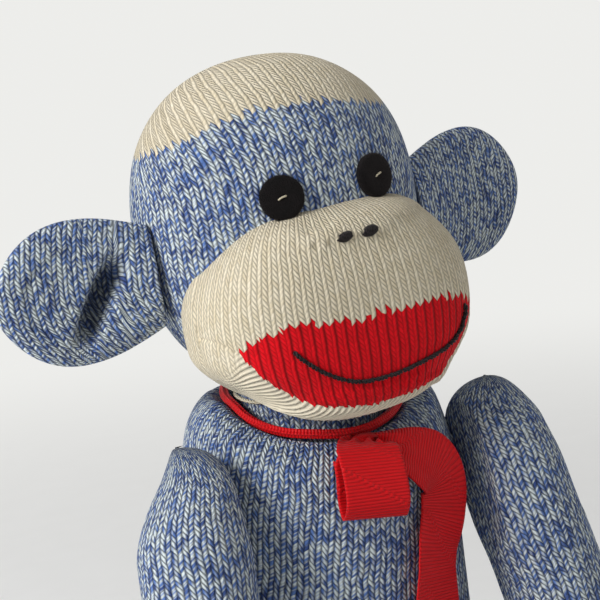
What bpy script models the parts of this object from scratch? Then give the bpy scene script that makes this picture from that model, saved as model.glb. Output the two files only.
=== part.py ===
"""Sock monkey doll, sitting on a flat surface with its legs out in front.

Metres, +Z up. The doll faces -Y, and its own right side is at -X. The origin is the middle of the
flat that it sits on. Each stuffed piece is a knitted skin filled with fibre, modelled as one solid.
The head leans a little to the doll's right, turns and nods on the neck, the ears flap on their seams,
the arms and legs swing on theirs, and the tail swings from side to side.
"""

import math

import bmesh
import bpy
import numpy as np
from mathutils import Matrix, Vector
from mathutils.bvhtree import BVHTree

# Fits
GAP = 0.0003
PRESSED = 0.0005
OVERRUN = 0.02

# Torso: width and depth of the belly, height of the shoulders beside the neck
TORSO_WIDTH = 0.096
TORSO_DEPTH = 0.078
SHOULDER_Z = 0.1725
CHEST_DROP = 0.015
SEAT_BACK = 0.006
SIDE_PRESS = 0.0035
SIDE_PRESS_LENGTH = 0.068
TORSO_HEIGHT_SHARES = (0.0, 0.03, 0.1, 0.22, 0.4, 0.6, 0.76, 0.86, 0.925, 0.965, 0.992, 1.0, 0.985, 0.96)
TORSO_RADIUS_SHARES = (0.7, 0.83, 0.94, 0.99, 1.0, 0.99, 0.975, 0.97, 0.94, 0.885, 0.8, 0.71, 0.63, 0.56)
DROP_FROM_SHARE = 0.68
SEAT_BACK_TO_SHARE = 0.45

# Neck: a stuffed ball that the head sits on, with a stem down into the torso
NECK_Z = 0.172
NECK_RADIUS = 0.024
NECK_BALL_DEG = 110
NECK_STEM = 0.014
HEAD_TILT_DEG = -3.5
THREAD_DIAMETER = 0.0016
THREAD_DIP_DEG = 14

# Head, with its heights taken from the level of the ears
HEAD_WIDTH = 0.0966
HEAD_DEPTH = 0.084
HEAD_CENTRE_BACK = 0.004
EARS_ABOVE_NECK = 0.047
HEAD_MIDDLE_Z = 0.012
HEAD_UP = 0.05
HEAD_DOWN = 0.055
HEAD_UP_POWER_SHARE = 2.2
HEAD_DOWN_POWER_SHARE = 2.6
CROWN_SIDE_Z = 0.038
CROWN_FRONT_RISE = 0.011
CROWN_RISE_POWER = 1.5

# Muzzle: a stuffed oval sewn to the face
MUZZLE_WIDTH = 0.0925
MUZZLE_HEIGHT = 0.072
MUZZLE_REACH = 0.0325
MUZZLE_FORWARD = 0.0215
MUZZLE_Z = -0.0192
MUZZLE_OUTLINE_SHARE = 2.3
MUZZLE_DOME_SHARE = 2.8
THROAT_RADIUS = 0.041
LIPS_TOP_Z = -0.0215
LIPS_DEPTH = 0.0265
LIPS_WIDTH = 0.088

# Face
EYE_DIAMETER = 0.0139
EYE_THICKNESS = 0.0026
EYE_SPACING = 0.0328
EYE_Z = 0.0202
EYE_STITCH_LENGTH = 0.0046
EYE_STITCH_DIAMETER = 0.0009
EYE_STITCH_SHARES = ((-1, 0), (-0.55, 0.3), (0, 0), (0.55, -0.3), (1, 0))
NOSTRIL_WIDTH = 0.0052
NOSTRIL_HEIGHT = 0.0034
NOSTRIL_THICKNESS = 0.0014
NOSTRIL_SPACING = 0.0086
NOSTRIL_Z = 0.0062
SMILE_DIAMETER = 0.0016
SMILE_TOP_Z = -0.0222
SMILE_DEPTH = 0.0165
SMILE_LIFT = 0.0001
SMILE_X_SHARES = (-0.6, -0.54, -0.4, -0.21, 0.0, 0.34, 0.58, 0.78, 0.88)
SMILE_DROP_SHARES = (0.0, 0.28, 0.7, 0.96, 1.0, 0.95, 0.82, 0.56, 0.2)

# Ears: stuffed discs, hollowed in front
EAR_LENGTH = 0.052
EAR_HEIGHT = 0.047
EAR_THICKNESS = 0.013
EAR_HOLLOW = 0.0042
EAR_BACK = -0.001
EAR_SWEEP_DEG = 12
EAR_FLAP_DEG = 25
EAR_THIN_SHARE = 0.85
EAR_END_POWER = 5
EAR_END_SHARE = 0.02
EAR_TIP_SHARE = 1.002
EAR_HOLLOW_POWER = 1.5
EAR_HEIGHT_SHARES = (0.7, 0.82, 0.92, 0.98, 1.0, 0.97, 0.88, 0.72)

# Arms
SHOULDER_PIVOT_Z = 0.146
SHOULDER_FORWARD = 0.017
ARM_DIAMETER = 0.037
WRIST_DIAMETER = 0.03
HAND_DIAMETER = 0.033
HAND_LENGTH = 0.034
ARM_SPREAD = 0.0172
ARM_REACH = 0.072
ARM_TOP_OUT_SHARE = 0.38
ARM_OUT_SHARES = (0.0, 0.0, 0.1, 0.36, 0.62, 0.86, 1.0, 1.05)
ARM_FORWARD_SHARES = (0.0, 0.04, 0.15, 0.25, 0.36, 0.5, 0.72, 1.0)
ARM_DOWN_SHARES = (0.0, 0.11, 0.27, 0.45, 0.68, 0.88, 0.985, 1.0)

# Legs
HIP_DIAMETER = 0.048
ANKLE_DIAMETER = 0.038
FOOT_DIAMETER = 0.042
FOOT_LENGTH = 0.05
LEG_LENGTH = 0.25
HIP_SPACING = 0.052
HIP_FORWARD = 0.012
LEG_SPLAY_DEG = 5
HIP_RAISE_DEG = 15

# Tail
TAIL_LENGTH = 0.25
TAIL_DIAMETER = 0.022
TAIL_TIP_DIAMETER = 0.017
TAIL_TIP_LENGTH = 0.03
TAIL_ROOT_Z = 0.021
TAIL_SWING_DEG = 35
TAIL_SIDE_SHARES = (0.0, 0.0, 0.01, 0.06, 0.2, 0.36)
TAIL_BACK_SHARES = (0.0, 0.1, 0.25, 0.45, 0.62, 0.7)
TAIL_FALL_SHARES = (0, 0.35, 0.95, 1, 1, 1)

# Ribbon: grosgrain, tied round the neck
RIBBON_WIDTH = 0.022
RIBBON_THICKNESS = 0.0006
BAND_RADIUS = 0.0285
BAND_THICKNESS = 0.0034
KNOT_WIDTH = 0.011
KNOT_HEIGHT = 0.008
KNOT_THICKNESS = 0.005
KNOT_DROP = 0.004
LAYER_STEP = 0.0014
KNOT_POWER = 0.75
NECKED_SHARE = 0.42
NECKED_LENGTH_SHARE = 0.15
LOOP_LENGTH = 0.0245
LOOP_DEPTH = 0.0062
LOOP_SIDE = -0.0052
LOOP_LEAN_DEG = 8
LOOP_SHARES = (0.3, 0.55, 0.8)
LOOP_FULL_SHARE = 0.77
STUB_SHARES = (0.56, 0.78, 1)
LONG_TAIL_SIDE = 0.026
LONG_TAIL_LENGTH = 0.078
LONG_TAIL_SIDE_SHARES = (0.34, 0.66, 0.88, 0.96, 0.9, 0.74, 0.62, 0.56)
LONG_TAIL_DROP_SHARES = (0.1, 0.15, 0.21, 0.29, 0.4, 0.54, 0.74, 1.0)
SHORT_TAIL_SIDE = -0.003
SHORT_TAIL_LENGTH = 0.018

# Limbs are a little slimmer between their ends
SLIM_SHARE = 0.975

# Facets
TORSO_SIDES = 40
TORSO_RINGS = 21
HEAD_SIDES = 36
HEAD_RINGS = 16
MUZZLE_SIDES = 32
MUZZLE_RINGS = 14
NECK_SIDES = 32
NECK_RINGS = 12
EAR_SIDES = 18
EAR_RINGS = 11
LIMB_SIDES = 16
LIMB_RINGS = 16
TAIL_SIDES = 14

HALF = 0.5
TURN = 2 * math.pi
FORWARD = Vector((0, -1, 0))

MATERIALS = {
    "mottled_blue": ((0.16, 0.22, 0.4), 0.9),
    "cream_knit": ((0.72, 0.66, 0.52), 0.9),
    "red_knit": ((0.62, 0.01, 0.02), 0.85),
    "black_felt": ((0.008, 0.006, 0.01), 1.0),
    "black_thread": ((0.01, 0.01, 0.015), 0.7),
    "cream_thread": ((0.75, 0.7, 0.58), 0.7),
    "red_ribbon": ((0.5, 0.004, 0.012), 0.55),
}


def clear_scene():
    for thing in list(bpy.data.objects):
        bpy.data.objects.remove(thing)


def make_materials():
    for name, (colour, roughness) in MATERIALS.items():
        made = bpy.data.materials.new(name)
        made.use_nodes = True
        shader = made.node_tree.nodes["Principled BSDF"]
        shader.inputs["Base Color"].default_value = (*colour, 1)
        shader.inputs["Roughness"].default_value = roughness
        shader.inputs["Metallic"].default_value = 0
        made.diffuse_color = (*colour, 1)


def empty(name, place, parent=None, tilt_deg=0):
    made = bpy.data.objects.new(name, None)
    made.location = place
    made.rotation_euler.y = math.radians(tilt_deg)
    made.parent = parent
    bpy.context.collection.objects.link(made)
    return made


def smooth_line(points, count, crowd_ends=False):
    """Points spaced along one smooth curve through the given ones, closer together at its ends if asked."""
    given = np.array([tuple(point) for point in points], float)
    padded = np.vstack([2 * given[0] - given[1], given, 2 * given[-1] - given[-2]])
    dense = []
    for a, b, c, d in zip(padded, padded[1:], padded[2:], padded[3:]):
        for t in np.linspace(0, 1, 24, endpoint=False):
            bend = (2 * a - 5 * b + 4 * c - d) * t**2 + (3 * b - a - 3 * c + d) * t**3
            dense.append(b + HALF * ((c - a) * t + bend))
    dense.append(given[-1])
    dense = np.array(dense)
    run = np.concatenate([[0], np.cumsum(np.linalg.norm(np.diff(dense, axis=0), axis=1))])
    share = np.linspace(0, 1, count)
    if crowd_ends:
        share = HALF - HALF * np.cos(math.pi * share)
    return np.stack([np.interp(share * run[-1], run, column) for column in dense.T], axis=1)


def length_of(line):
    return float(np.linalg.norm(np.diff(line, axis=0), axis=1).sum())


def solid(name, rings, first, last, material, parent):
    """Closed skin over rings of points, drawn together at a point or a flat at each end."""
    mesh = bpy.data.meshes.new(name)
    made = bpy.data.objects.new(name, mesh)
    built = bmesh.new()
    rows = [[built.verts.new(point) for point in ring] for ring in rings]
    for row, following in zip(rows, rows[1:]):
        for i in range(len(row)):
            j = (i + 1) % len(row)
            built.faces.new((row[i], row[j], following[j], following[i]))
    for row, end in ((rows[0], first), (rows[-1], last)):
        if end is None:
            built.faces.new(row)
            continue
        tip = built.verts.new(end)
        for i in range(len(row)):
            built.faces.new((row[i], row[(i + 1) % len(row)], tip))
    bmesh.ops.recalc_face_normals(built, faces=built.faces)
    built.to_mesh(mesh)
    built.free()
    mesh.materials.append(bpy.data.materials[material])
    mesh.shade_smooth()
    mesh.set_sharp_from_angle(angle=math.radians(45))
    made.parent = parent
    bpy.context.collection.objects.link(made)
    return made


def paint(piece, material, inside):
    """Gives another knitted colour to the faces whose middle passes the test."""
    piece.data.materials.append(bpy.data.materials[material])
    for face in piece.data.polygons:
        if inside(face.center):
            face.material_index = len(piece.data.materials) - 1


def cut(piece, cutter):
    cutter.hide_render = True
    cutter.display_type = "WIRE"
    modifier = piece.modifiers.new(cutter.name, "BOOLEAN")
    modifier.operation = "DIFFERENCE"
    modifier.object = cutter


def grown(piece, name, parent, shift=Vector(), turn_deg=0):
    """A copy of a piece, larger by the gap all round, that others are cut by."""
    mesh = piece.data.copy()
    normals = [vertex.normal.copy() for vertex in mesh.vertices]
    for vertex, normal in zip(mesh.vertices, normals):
        vertex.co = vertex.co + normal * GAP - shift
    made = bpy.data.objects.new(name, mesh)
    made.parent = parent
    made.rotation_euler.z = math.radians(turn_deg)
    bpy.context.collection.objects.link(made)
    return made


def surface_of(piece):
    mesh = piece.data
    corners = [vertex.co for vertex in mesh.vertices]
    return BVHTree.FromPolygons(corners, [tuple(face.vertices) for face in mesh.polygons])


def from_front(tree, x, z):
    """Where a line straight back from the front meets a surface, and the surface's normal there."""
    place, normal, _, _ = tree.ray_cast(Vector((x, -HEAD_WIDTH, z)), -FORWARD)
    return place, normal


def tube(name, line, radii, sides, material, parent, wide=None, flat=1.0):
    """Rings along a line, each square to it. A width direction and a flatness make them oval."""
    line = np.array(line)
    along = np.gradient(line, axis=0)
    along /= np.linalg.norm(along, axis=1)[:, None]
    side = np.array(wide if wide is not None else np.cross(along[0], (0.0, 1.0, 0.0)))
    rings = []
    for centre, ahead, radius in zip(line, along, radii):
        side = side - ahead * side.dot(ahead)
        side = side / np.linalg.norm(side)
        other = np.cross(ahead, side)
        turn = [TURN * i / sides for i in range(sides)]
        rings.append([centre + radius * (side * math.cos(a) + other * flat * math.sin(a)) for a in turn])
    return solid(name, rings[1:-1], line[0], line[-1], material, parent)


def limb_radii(line, sizes, places):
    """Radius along a limb: a smooth run through its sizes, with a round cap at each end."""
    run = np.concatenate([[0], np.cumsum(np.linalg.norm(np.diff(line, axis=0), axis=1))])
    table = smooth_line(list(zip(places, sizes)), 60)
    radii = np.interp(run, table[:, 0], table[:, 1])
    left = np.clip(run / sizes[0], 0, 1)
    right = np.clip((run[-1] - run) / sizes[-1], 0, 1)
    return radii * np.sqrt(left * (2 - left)) * np.sqrt(right * (2 - right))


def press(piece, axis, least=None, most=None):
    """Stuffing pressed flat: no point of the skin passes the plane."""
    for vertex in piece.data.vertices:
        if least is not None:
            vertex.co[axis] = max(vertex.co[axis], least)
        if most is not None:
            vertex.co[axis] = min(vertex.co[axis], most)


def eased(share):
    share = min(max(share, 0), 1)
    return share * share * (3 - 2 * share)


def side_flat(z):
    """How far out the torso's side is, where the arm hangs against it."""
    above = z - SHOULDER_PIVOT_Z + SIDE_PRESS_LENGTH
    return TORSO_WIDTH * HALF - SIDE_PRESS * eased(above / (ARM_DIAMETER * HALF))


def make_torso(doll):
    profile = smooth_line(list(zip(TORSO_HEIGHT_SHARES, TORSO_RADIUS_SHARES)), TORSO_RINGS)
    rings = []
    for height, radius in profile:
        back = SEAT_BACK * (1 - eased(height / SEAT_BACK_TO_SHARE))
        drop = CHEST_DROP * eased((height - DROP_FROM_SHARE) / (1 - DROP_FROM_SHARE))
        ring = []
        for i in range(TORSO_SIDES):
            angle = TURN * i / TORSO_SIDES
            x = TORSO_WIDTH * HALF * radius * math.sin(angle)
            y = back - TORSO_DEPTH * HALF * radius * math.cos(angle)
            z = SHOULDER_Z * height - drop * max(math.cos(angle), 0)
            x = min(max(x, -side_flat(z)), side_flat(z))
            ring.append(Vector((x, y, z)))
        rings.append(ring)
    deep = Vector((0, 0, rings[-1][0].z))
    return solid("torso", rings, None, deep, "mottled_blue", doll)


def lathe(name, outline, sides, material, parent):
    """A turned solid about +Z, from (radius, height) pairs, closed by a point where the radius is zero."""
    rings = []
    for radius, z in outline[1:-1]:
        turn = [TURN * i / sides for i in range(sides)]
        rings.append([Vector((radius * math.cos(a), radius * math.sin(a), z)) for a in turn])
    first = Vector((0, 0, outline[0][1]))
    last = Vector((0, 0, outline[-1][1]))
    return solid(name, rings, first, last, material, parent)


def neck_outline(clear, stem):
    """The ball, from its top down to where the stem leaves it, and the stem."""
    radius = NECK_RADIUS + clear
    outline = []
    for i in range(NECK_RINGS + 1):
        angle = math.radians(NECK_BALL_DEG) * i / NECK_RINGS
        outline.append((radius * math.sin(angle), radius * math.cos(angle)))
    narrow, low = outline[-1]
    outline.append((narrow, low - stem))
    outline.append((0, low - stem))
    return outline


def prism(name, outline, half_length, parent):
    """A solid along X from an outline in the YZ plane."""
    rings = [[Vector((x, y, z)) for y, z in outline] for x in (-half_length, half_length)]
    return solid(name, rings, None, None, "mottled_blue", parent)


def lap_outline():
    """The space that the legs need under and in front of the torso, from hanging down to raised."""
    radius = HIP_DIAMETER * HALF + GAP
    centre_z = HIP_DIAMETER * HALF - PRESSED
    raise_angle = math.radians(HIP_RAISE_DEG)
    reach = TORSO_DEPTH + HIP_DIAMETER
    outline = []
    steps = 20
    for i in range(steps + 1):
        angle = (math.pi * HALF - raise_angle) * (1 - i / steps)
        outline.append((-HIP_FORWARD + radius * math.cos(angle), centre_z + radius * math.sin(angle)))
    top_y, top_z = outline[0]
    outline.append((outline[-1][0], -OVERRUN))
    outline.append((top_y - reach * math.cos(raise_angle), -OVERRUN))
    outline.append((top_y - reach * math.cos(raise_angle), top_z + reach * math.sin(raise_angle)))
    return outline


def head_point(angle, polar):
    """A point of the head's skin: angle round from the front, polar angle down from the crown."""
    if polar < math.pi * HALF:
        power, tall = HEAD_UP_POWER_SHARE, HEAD_UP
    else:
        power, tall = HEAD_DOWN_POWER_SHARE, HEAD_DOWN
    across = math.sin(polar) ** (2 / power)
    up = math.copysign(abs(math.cos(polar)) ** (2 / power), math.cos(polar))
    x = HEAD_WIDTH * HALF * across * math.sin(angle)
    y = HEAD_CENTRE_BACK - HEAD_DEPTH * HALF * across * math.cos(angle)
    return Vector((x, y, EARS_ABOVE_NECK + HEAD_MIDDLE_Z + tall * up))


def make_head(pose):
    rings = []
    for row in range(1, HEAD_RINGS):
        polar = math.pi * row / HEAD_RINGS
        rings.append([head_point(TURN * i / HEAD_SIDES, polar) for i in range(HEAD_SIDES)])
    top = Vector((0, HEAD_CENTRE_BACK, head_point(0, 0).z))
    bottom = Vector((0, HEAD_CENTRE_BACK, head_point(0, math.pi).z))
    head = solid("head", rings, top, bottom, "mottled_blue", pose)

    def on_crown(place):
        around = math.atan2(place.x, -place.y)
        rise = CROWN_FRONT_RISE * max(math.cos(around), 0) ** CROWN_RISE_POWER
        return place.z > EARS_ABOVE_NECK + CROWN_SIDE_Z + rise

    paint(head, "cream_knit", on_crown)
    return head


def make_muzzle(pose):
    rings = []
    middle = Vector((0, -MUZZLE_FORWARD, EARS_ABOVE_NECK + MUZZLE_Z))

    def ring_at(polar):
        out = math.sin(polar) ** (2 / MUZZLE_DOME_SHARE)
        ahead = math.copysign(abs(math.cos(polar)) ** (2 / MUZZLE_DOME_SHARE), math.cos(polar))
        ring = []
        for i in range(MUZZLE_SIDES):
            angle = TURN * i / MUZZLE_SIDES
            x = math.copysign(abs(math.sin(angle)) ** (2 / MUZZLE_OUTLINE_SHARE), math.sin(angle))
            z = math.copysign(abs(math.cos(angle)) ** (2 / MUZZLE_OUTLINE_SHARE), math.cos(angle))
            place = (MUZZLE_WIDTH * HALF * out * x, -MUZZLE_REACH * ahead, MUZZLE_HEIGHT * HALF * out * z)
            ring.append(middle + Vector(place))
        return ring

    for row in range(1, MUZZLE_RINGS):
        rings.append(ring_at(math.pi * row / MUZZLE_RINGS))
    front = middle + FORWARD * MUZZLE_REACH
    muzzle = solid("muzzle", rings, front, middle - FORWARD * MUZZLE_REACH, "cream_knit", pose)

    def on_lips(place):
        below = EARS_ABOVE_NECK + LIPS_TOP_Z - place.z
        return below > 0 and (place.x / (LIPS_WIDTH * HALF)) ** 2 + (below / LIPS_DEPTH) ** 2 < 1

    paint(muzzle, "red_knit", on_lips)
    return muzzle


def disc_outline(radius, thick):
    """Half of a soft-edged disc that lies on a skin, its back sunk for the skin to cut."""
    edge = thick * HALF
    return (
        (0, thick),
        (radius * HALF, thick),
        (radius - edge * HALF, thick - edge * HALF * HALF),
        (radius, thick - edge),
        (radius, -thick),
        (0, -thick),
    )


def aim(piece, place, normal):
    piece.location = place
    piece.rotation_mode = "QUATERNION"
    piece.rotation_quaternion = normal.to_track_quat("Z", "Y")


def make_eyes(pose, head, head_cutter, muzzle_cutter):
    tree = surface_of(head)
    for side, x in (("left", EYE_SPACING * HALF), ("right", -EYE_SPACING * HALF)):
        place, normal = from_front(tree, x, EARS_ABOVE_NECK + EYE_Z)
        eye = lathe(f"eye_{side}", disc_outline(EYE_DIAMETER * HALF, EYE_THICKNESS), 24, "black_felt", pose)
        aim(eye, place, normal)
        cut(eye, head_cutter)
        cut(eye, muzzle_cutter)
        radius = EYE_STITCH_DIAMETER * HALF
        reach = EYE_STITCH_LENGTH * HALF
        line = smooth_line([(reach * a, reach * b, 0) for a, b in EYE_STITCH_SHARES], 12, True)
        radii = limb_radii(line, (radius, radius), (0, EYE_STITCH_LENGTH))
        stitch = tube(f"eye_stitch_{side}", line, radii, 6, "cream_thread", pose, wide=(0.0, 0.0, 1.0))
        aim(stitch, place + normal * (EYE_THICKNESS + radius + GAP), normal)


def make_nostrils(pose, muzzle, muzzle_cutter):
    tree = surface_of(muzzle)
    for side, x in (("left", NOSTRIL_SPACING * HALF), ("right", -NOSTRIL_SPACING * HALF)):
        place, normal = from_front(tree, x, EARS_ABOVE_NECK + NOSTRIL_Z)
        outline = disc_outline(NOSTRIL_HEIGHT * HALF, NOSTRIL_THICKNESS)
        nostril = lathe(f"nostril_{side}", outline, 16, "black_thread", pose)
        for vertex in nostril.data.vertices:
            vertex.co.x *= NOSTRIL_WIDTH / NOSTRIL_HEIGHT
        aim(nostril, place, normal)
        cut(nostril, muzzle_cutter)


def make_smile(pose, muzzle):
    tree = surface_of(muzzle)
    radius = SMILE_DIAMETER * HALF
    points = []
    for across, drop in zip(SMILE_X_SHARES, SMILE_DROP_SHARES):
        points.append((across * MUZZLE_WIDTH * HALF, EARS_ABOVE_NECK + SMILE_TOP_Z - SMILE_DEPTH * drop))
    line = []
    for x, z in smooth_line(points, 34):
        place, normal = from_front(tree, x, z)
        line.append(place + normal * (radius + GAP + SMILE_LIFT))
    line = smooth_line(line, 34)
    radii = limb_radii(line, (radius, radius), (0, length_of(line)))
    tube("smile_stitch", line, radii, 6, "black_thread", pose)


def make_ear(side, sign, pose, head):
    tree = surface_of(head)
    start = Vector((sign * HEAD_WIDTH, EAR_BACK, EARS_ABOVE_NECK))
    place, _, _, _ = tree.ray_cast(start, Vector((-sign, 0, 0)))
    hinge = empty(f"ear_{side}_hinge", place + Vector((sign * GAP, 0, 0)), pose)
    sweep = math.radians(EAR_SWEEP_DEG)
    outward = Vector((sign * math.cos(sweep), math.sin(sweep), 0))
    ahead = Vector((sign * math.sin(sweep), -math.cos(sweep), 0))
    buried = EAR_THICKNESS * HALF
    heights = smooth_line(list(zip(np.linspace(0, 1, len(EAR_HEIGHT_SHARES)), EAR_HEIGHT_SHARES)), 60)
    rings = []
    for row in range(EAR_RINGS + 1):
        share = row / EAR_RINGS
        out = -buried + (EAR_LENGTH + buried) * math.sin(share * math.pi * HALF)
        along = max(out, 0) / EAR_LENGTH
        round_end = math.sqrt(max(1 - along**EAR_END_POWER, EAR_END_SHARE))
        tall = EAR_HEIGHT * HALF * float(np.interp(along, heights[:, 0], heights[:, 1])) * round_end
        full = EAR_THIN_SHARE + (1 - EAR_THIN_SHARE) * math.sin(math.pi * along)
        thick = EAR_THICKNESS * HALF * full * round_end
        ring = []
        for i in range(EAR_SIDES):
            angle = TURN * i / EAR_SIDES
            up = math.cos(angle)
            front = math.sin(angle)
            hollow = EAR_HOLLOW * max(front, 0) * math.sin(math.pi * min(along, 1)) ** EAR_HOLLOW_POWER
            hollow *= 1 - up * up
            ring.append(outward * out + Vector((0, 0, tall * up)) + ahead * (thick * front - hollow))
        rings.append(ring)
    tip = outward * (EAR_LENGTH * EAR_TIP_SHARE)
    ear = solid(f"ear_{side}", rings, None, tip, "mottled_blue", hinge)
    for turn in (-EAR_FLAP_DEG, 0, EAR_FLAP_DEG):
        cut(ear, grown(head, f"ear_{side}_cutter_{turn}", hinge, hinge.location, turn))


def make_arm(side, sign, doll):
    flat = TORSO_WIDTH * HALF - SIDE_PRESS
    shoulder = empty(f"shoulder_{side}", Vector((sign * flat, -SHOULDER_FORWARD, SHOULDER_PIVOT_Z)), doll)
    radius = ARM_DIAMETER * HALF
    top_x = ARM_DIAMETER * ARM_TOP_OUT_SHARE
    fall = SHOULDER_PIVOT_Z + radius - HAND_DIAMETER * HALF + PRESSED
    points = []
    for out, ahead, down in zip(ARM_OUT_SHARES, ARM_FORWARD_SHARES, ARM_DOWN_SHARES):
        x = top_x + ARM_SPREAD * out
        points.append(Vector((sign * x, -ARM_REACH * ahead, radius - fall * down)))
    line = smooth_line(points, LIMB_RINGS + 4, True)
    total = length_of(line)
    wrist = total - HAND_LENGTH
    hand = HAND_DIAMETER * HALF
    places = (0, wrist * HALF, wrist - HAND_LENGTH * HALF, wrist, total - hand, total)
    middle = (ARM_DIAMETER + WRIST_DIAMETER) * HALF * HALF * SLIM_SHARE
    sizes = (radius, radius * SLIM_SHARE, middle, WRIST_DIAMETER * HALF, hand, hand)
    radii = limb_radii(line, sizes, places)
    arm = tube(f"arm_{side}", line, radii, LIMB_SIDES, "mottled_blue", shoulder)
    press(arm, 2, least=-SHOULDER_PIVOT_Z)
    if sign > 0:
        press(arm, 0, least=GAP)
    else:
        press(arm, 0, most=-GAP)
    start = line[-1] - np.array((0, -HAND_LENGTH, 0))
    paint(arm, "cream_knit", lambda place: place.y < start[1] and place.z < start[2] + HAND_DIAMETER)


def make_leg(side, sign, doll):
    radius = HIP_DIAMETER * HALF
    hip_z = radius - PRESSED
    hip = empty(f"hip_{side}", Vector((sign * HIP_SPACING * HALF, -HIP_FORWARD, hip_z)), doll)
    splay = math.radians(LEG_SPLAY_DEG)
    ahead = Vector((sign * math.sin(splay), -math.cos(splay), 0))
    foot_z = FOOT_DIAMETER * HALF - PRESSED - hip_z
    ankle_z = ANKLE_DIAMETER * HALF - PRESSED - hip_z
    ankle = LEG_LENGTH - radius - FOOT_LENGTH
    toe = LEG_LENGTH - radius
    heights = ((-radius, 0), (0, 0), (ankle * HALF, ankle_z * HALF), (ankle, ankle_z),
               (toe - FOOT_LENGTH * HALF, foot_z), (toe, foot_z))
    points = [ahead * run + Vector((0, 0, z)) for run, z in heights]
    line = smooth_line(points, LIMB_RINGS + 4, True)
    total = length_of(line)
    places = (0, radius, radius + ankle * HALF, radius + ankle, total - FOOT_LENGTH * HALF, total)
    middle = (HIP_DIAMETER + ANKLE_DIAMETER) * HALF * HALF * SLIM_SHARE
    foot = FOOT_DIAMETER * HALF
    radii = limb_radii(line, (radius, radius, middle, ANKLE_DIAMETER * HALF, foot, foot), places)
    leg = tube(f"leg_{side}", line, radii, LIMB_SIDES, "mottled_blue", hip, wide=(1.0, 0.0, 0.0))
    press(leg, 2, least=-hip_z)
    paint(leg, "cream_knit", lambda place: place.dot(ahead) > toe - FOOT_LENGTH)


def make_tail(doll, torso):
    tree = surface_of(torso)
    start = Vector((0, TORSO_DEPTH, TAIL_ROOT_Z))
    place, _, _, _ = tree.ray_cast(start, FORWARD)
    root = empty("tail_root", place - FORWARD * GAP, doll)
    radius = TAIL_DIAMETER * HALF
    tip = TAIL_TIP_DIAMETER * HALF
    drop = TAIL_ROOT_Z - radius + PRESSED
    points = [Vector((0, -radius, 0))]
    for side, back, fall in zip(TAIL_SIDE_SHARES, TAIL_BACK_SHARES, TAIL_FALL_SHARES):
        lower = (radius - tip) * back
        points.append(Vector((TAIL_LENGTH * side, TAIL_LENGTH * back, -drop * fall - lower)))
    line = smooth_line(points, LIMB_RINGS + 2, True)
    total = length_of(line)
    places = (0, radius, total * HALF, total - tip, total)
    radii = limb_radii(line, (radius, radius, (radius + tip) * HALF, tip, tip), places)
    tail = tube("tail", line, radii, TAIL_SIDES, "mottled_blue", root, wide=(1.0, 0.0, 0.0))
    press(tail, 2, least=-TAIL_ROOT_Z)
    end = Vector(line[-1])
    paint(tail, "cream_knit", lambda point: (point - end).length < TAIL_TIP_LENGTH)
    for turn in (-TAIL_SWING_DEG, 0, TAIL_SWING_DEG):
        cut(tail, grown(torso, f"tail_cutter_{turn}", root, root.location, turn))


def strip(name, line, widths, across, thickness, material, parent):
    """A flat ribbon along a line, its width along the given direction at each point."""
    line = np.array(line)
    along = np.gradient(line, axis=0)
    along /= np.linalg.norm(along, axis=1)[:, None]
    rings = []
    for centre, ahead, width, wide in zip(line, along, widths, across):
        wide = np.array(wide) - ahead * np.dot(wide, ahead)
        wide /= np.linalg.norm(wide)
        face = np.cross(ahead, wide)
        corners = ((-1, -1), (0, -1), (1, -1), (1, 1), (0, 1), (-1, 1))
        rings.append([centre + wide * width * HALF * a + face * thickness * HALF * b for a, b in corners])
    return solid(name, rings, None, None, material, parent)


def on_chest(tree, x, z, off):
    """A point held off the chest, and the level direction along the chest there."""
    place, normal = from_front(tree, x, z)
    level = normal.cross(Vector((0, 0, 1))).normalized()
    return place + normal * off, level


def necked(count, both_ends):
    """Ribbon widths along a strip: drawn in where it leaves the knot."""
    widths = []
    for i in range(count):
        share = i / (count - 1)
        near = min(share, 1 - share) if both_ends else share * HALF
        spread = eased(near / NECKED_LENGTH_SHARE)
        widths.append(RIBBON_WIDTH * (NECKED_SHARE + (1 - NECKED_SHARE) * spread))
    return widths


def make_band(doll, torso, torso_cutter):
    tree = surface_of(torso)
    down = Vector((0, 0, -1))
    half = BAND_THICKNESS * HALF
    rings = []
    for i in range(TORSO_SIDES):
        angle = TURN * i / TORSO_SIDES
        out = Vector((math.sin(angle), -math.cos(angle), 0))
        start = out * BAND_RADIUS + Vector((0, 0, SHOULDER_Z + OVERRUN))
        place, _, _, _ = tree.ray_cast(start, down)
        centre = place + Vector((0, 0, half + GAP))
        turn = [TURN * j / 8 for j in range(8)]
        rings.append([centre + half * (out * math.cos(a) + Vector((0, 0, math.sin(a)))) for a in turn])
    band = ring_solid("ribbon_band", rings, "red_ribbon", doll)
    cut(band, torso_cutter)
    return sum(point.z for point in rings[0]) / len(rings[0])


def make_knot(doll, torso_cutter, place):
    rows = 8
    rings = []
    for row in range(1, rows):
        polar = math.pi * row / rows
        out = math.sin(polar) ** KNOT_POWER
        ring = []
        for i in range(16):
            a = TURN * i / 16
            x = KNOT_WIDTH * HALF * out * math.copysign(abs(math.cos(a)) ** KNOT_POWER, math.cos(a))
            y = KNOT_THICKNESS * HALF * out * math.copysign(abs(math.sin(a)) ** KNOT_POWER, math.sin(a))
            ring.append(place + Vector((x, y, KNOT_HEIGHT * HALF * math.cos(polar))))
        rings.append(ring)
    top = Vector((0, 0, KNOT_HEIGHT * HALF))
    knot = solid("ribbon_knot", rings, place + top, place - top, "red_ribbon", doll)
    knot_cutter = grown(knot, "knot_grown", doll)
    cut(knot, torso_cutter)
    return knot_cutter


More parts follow.
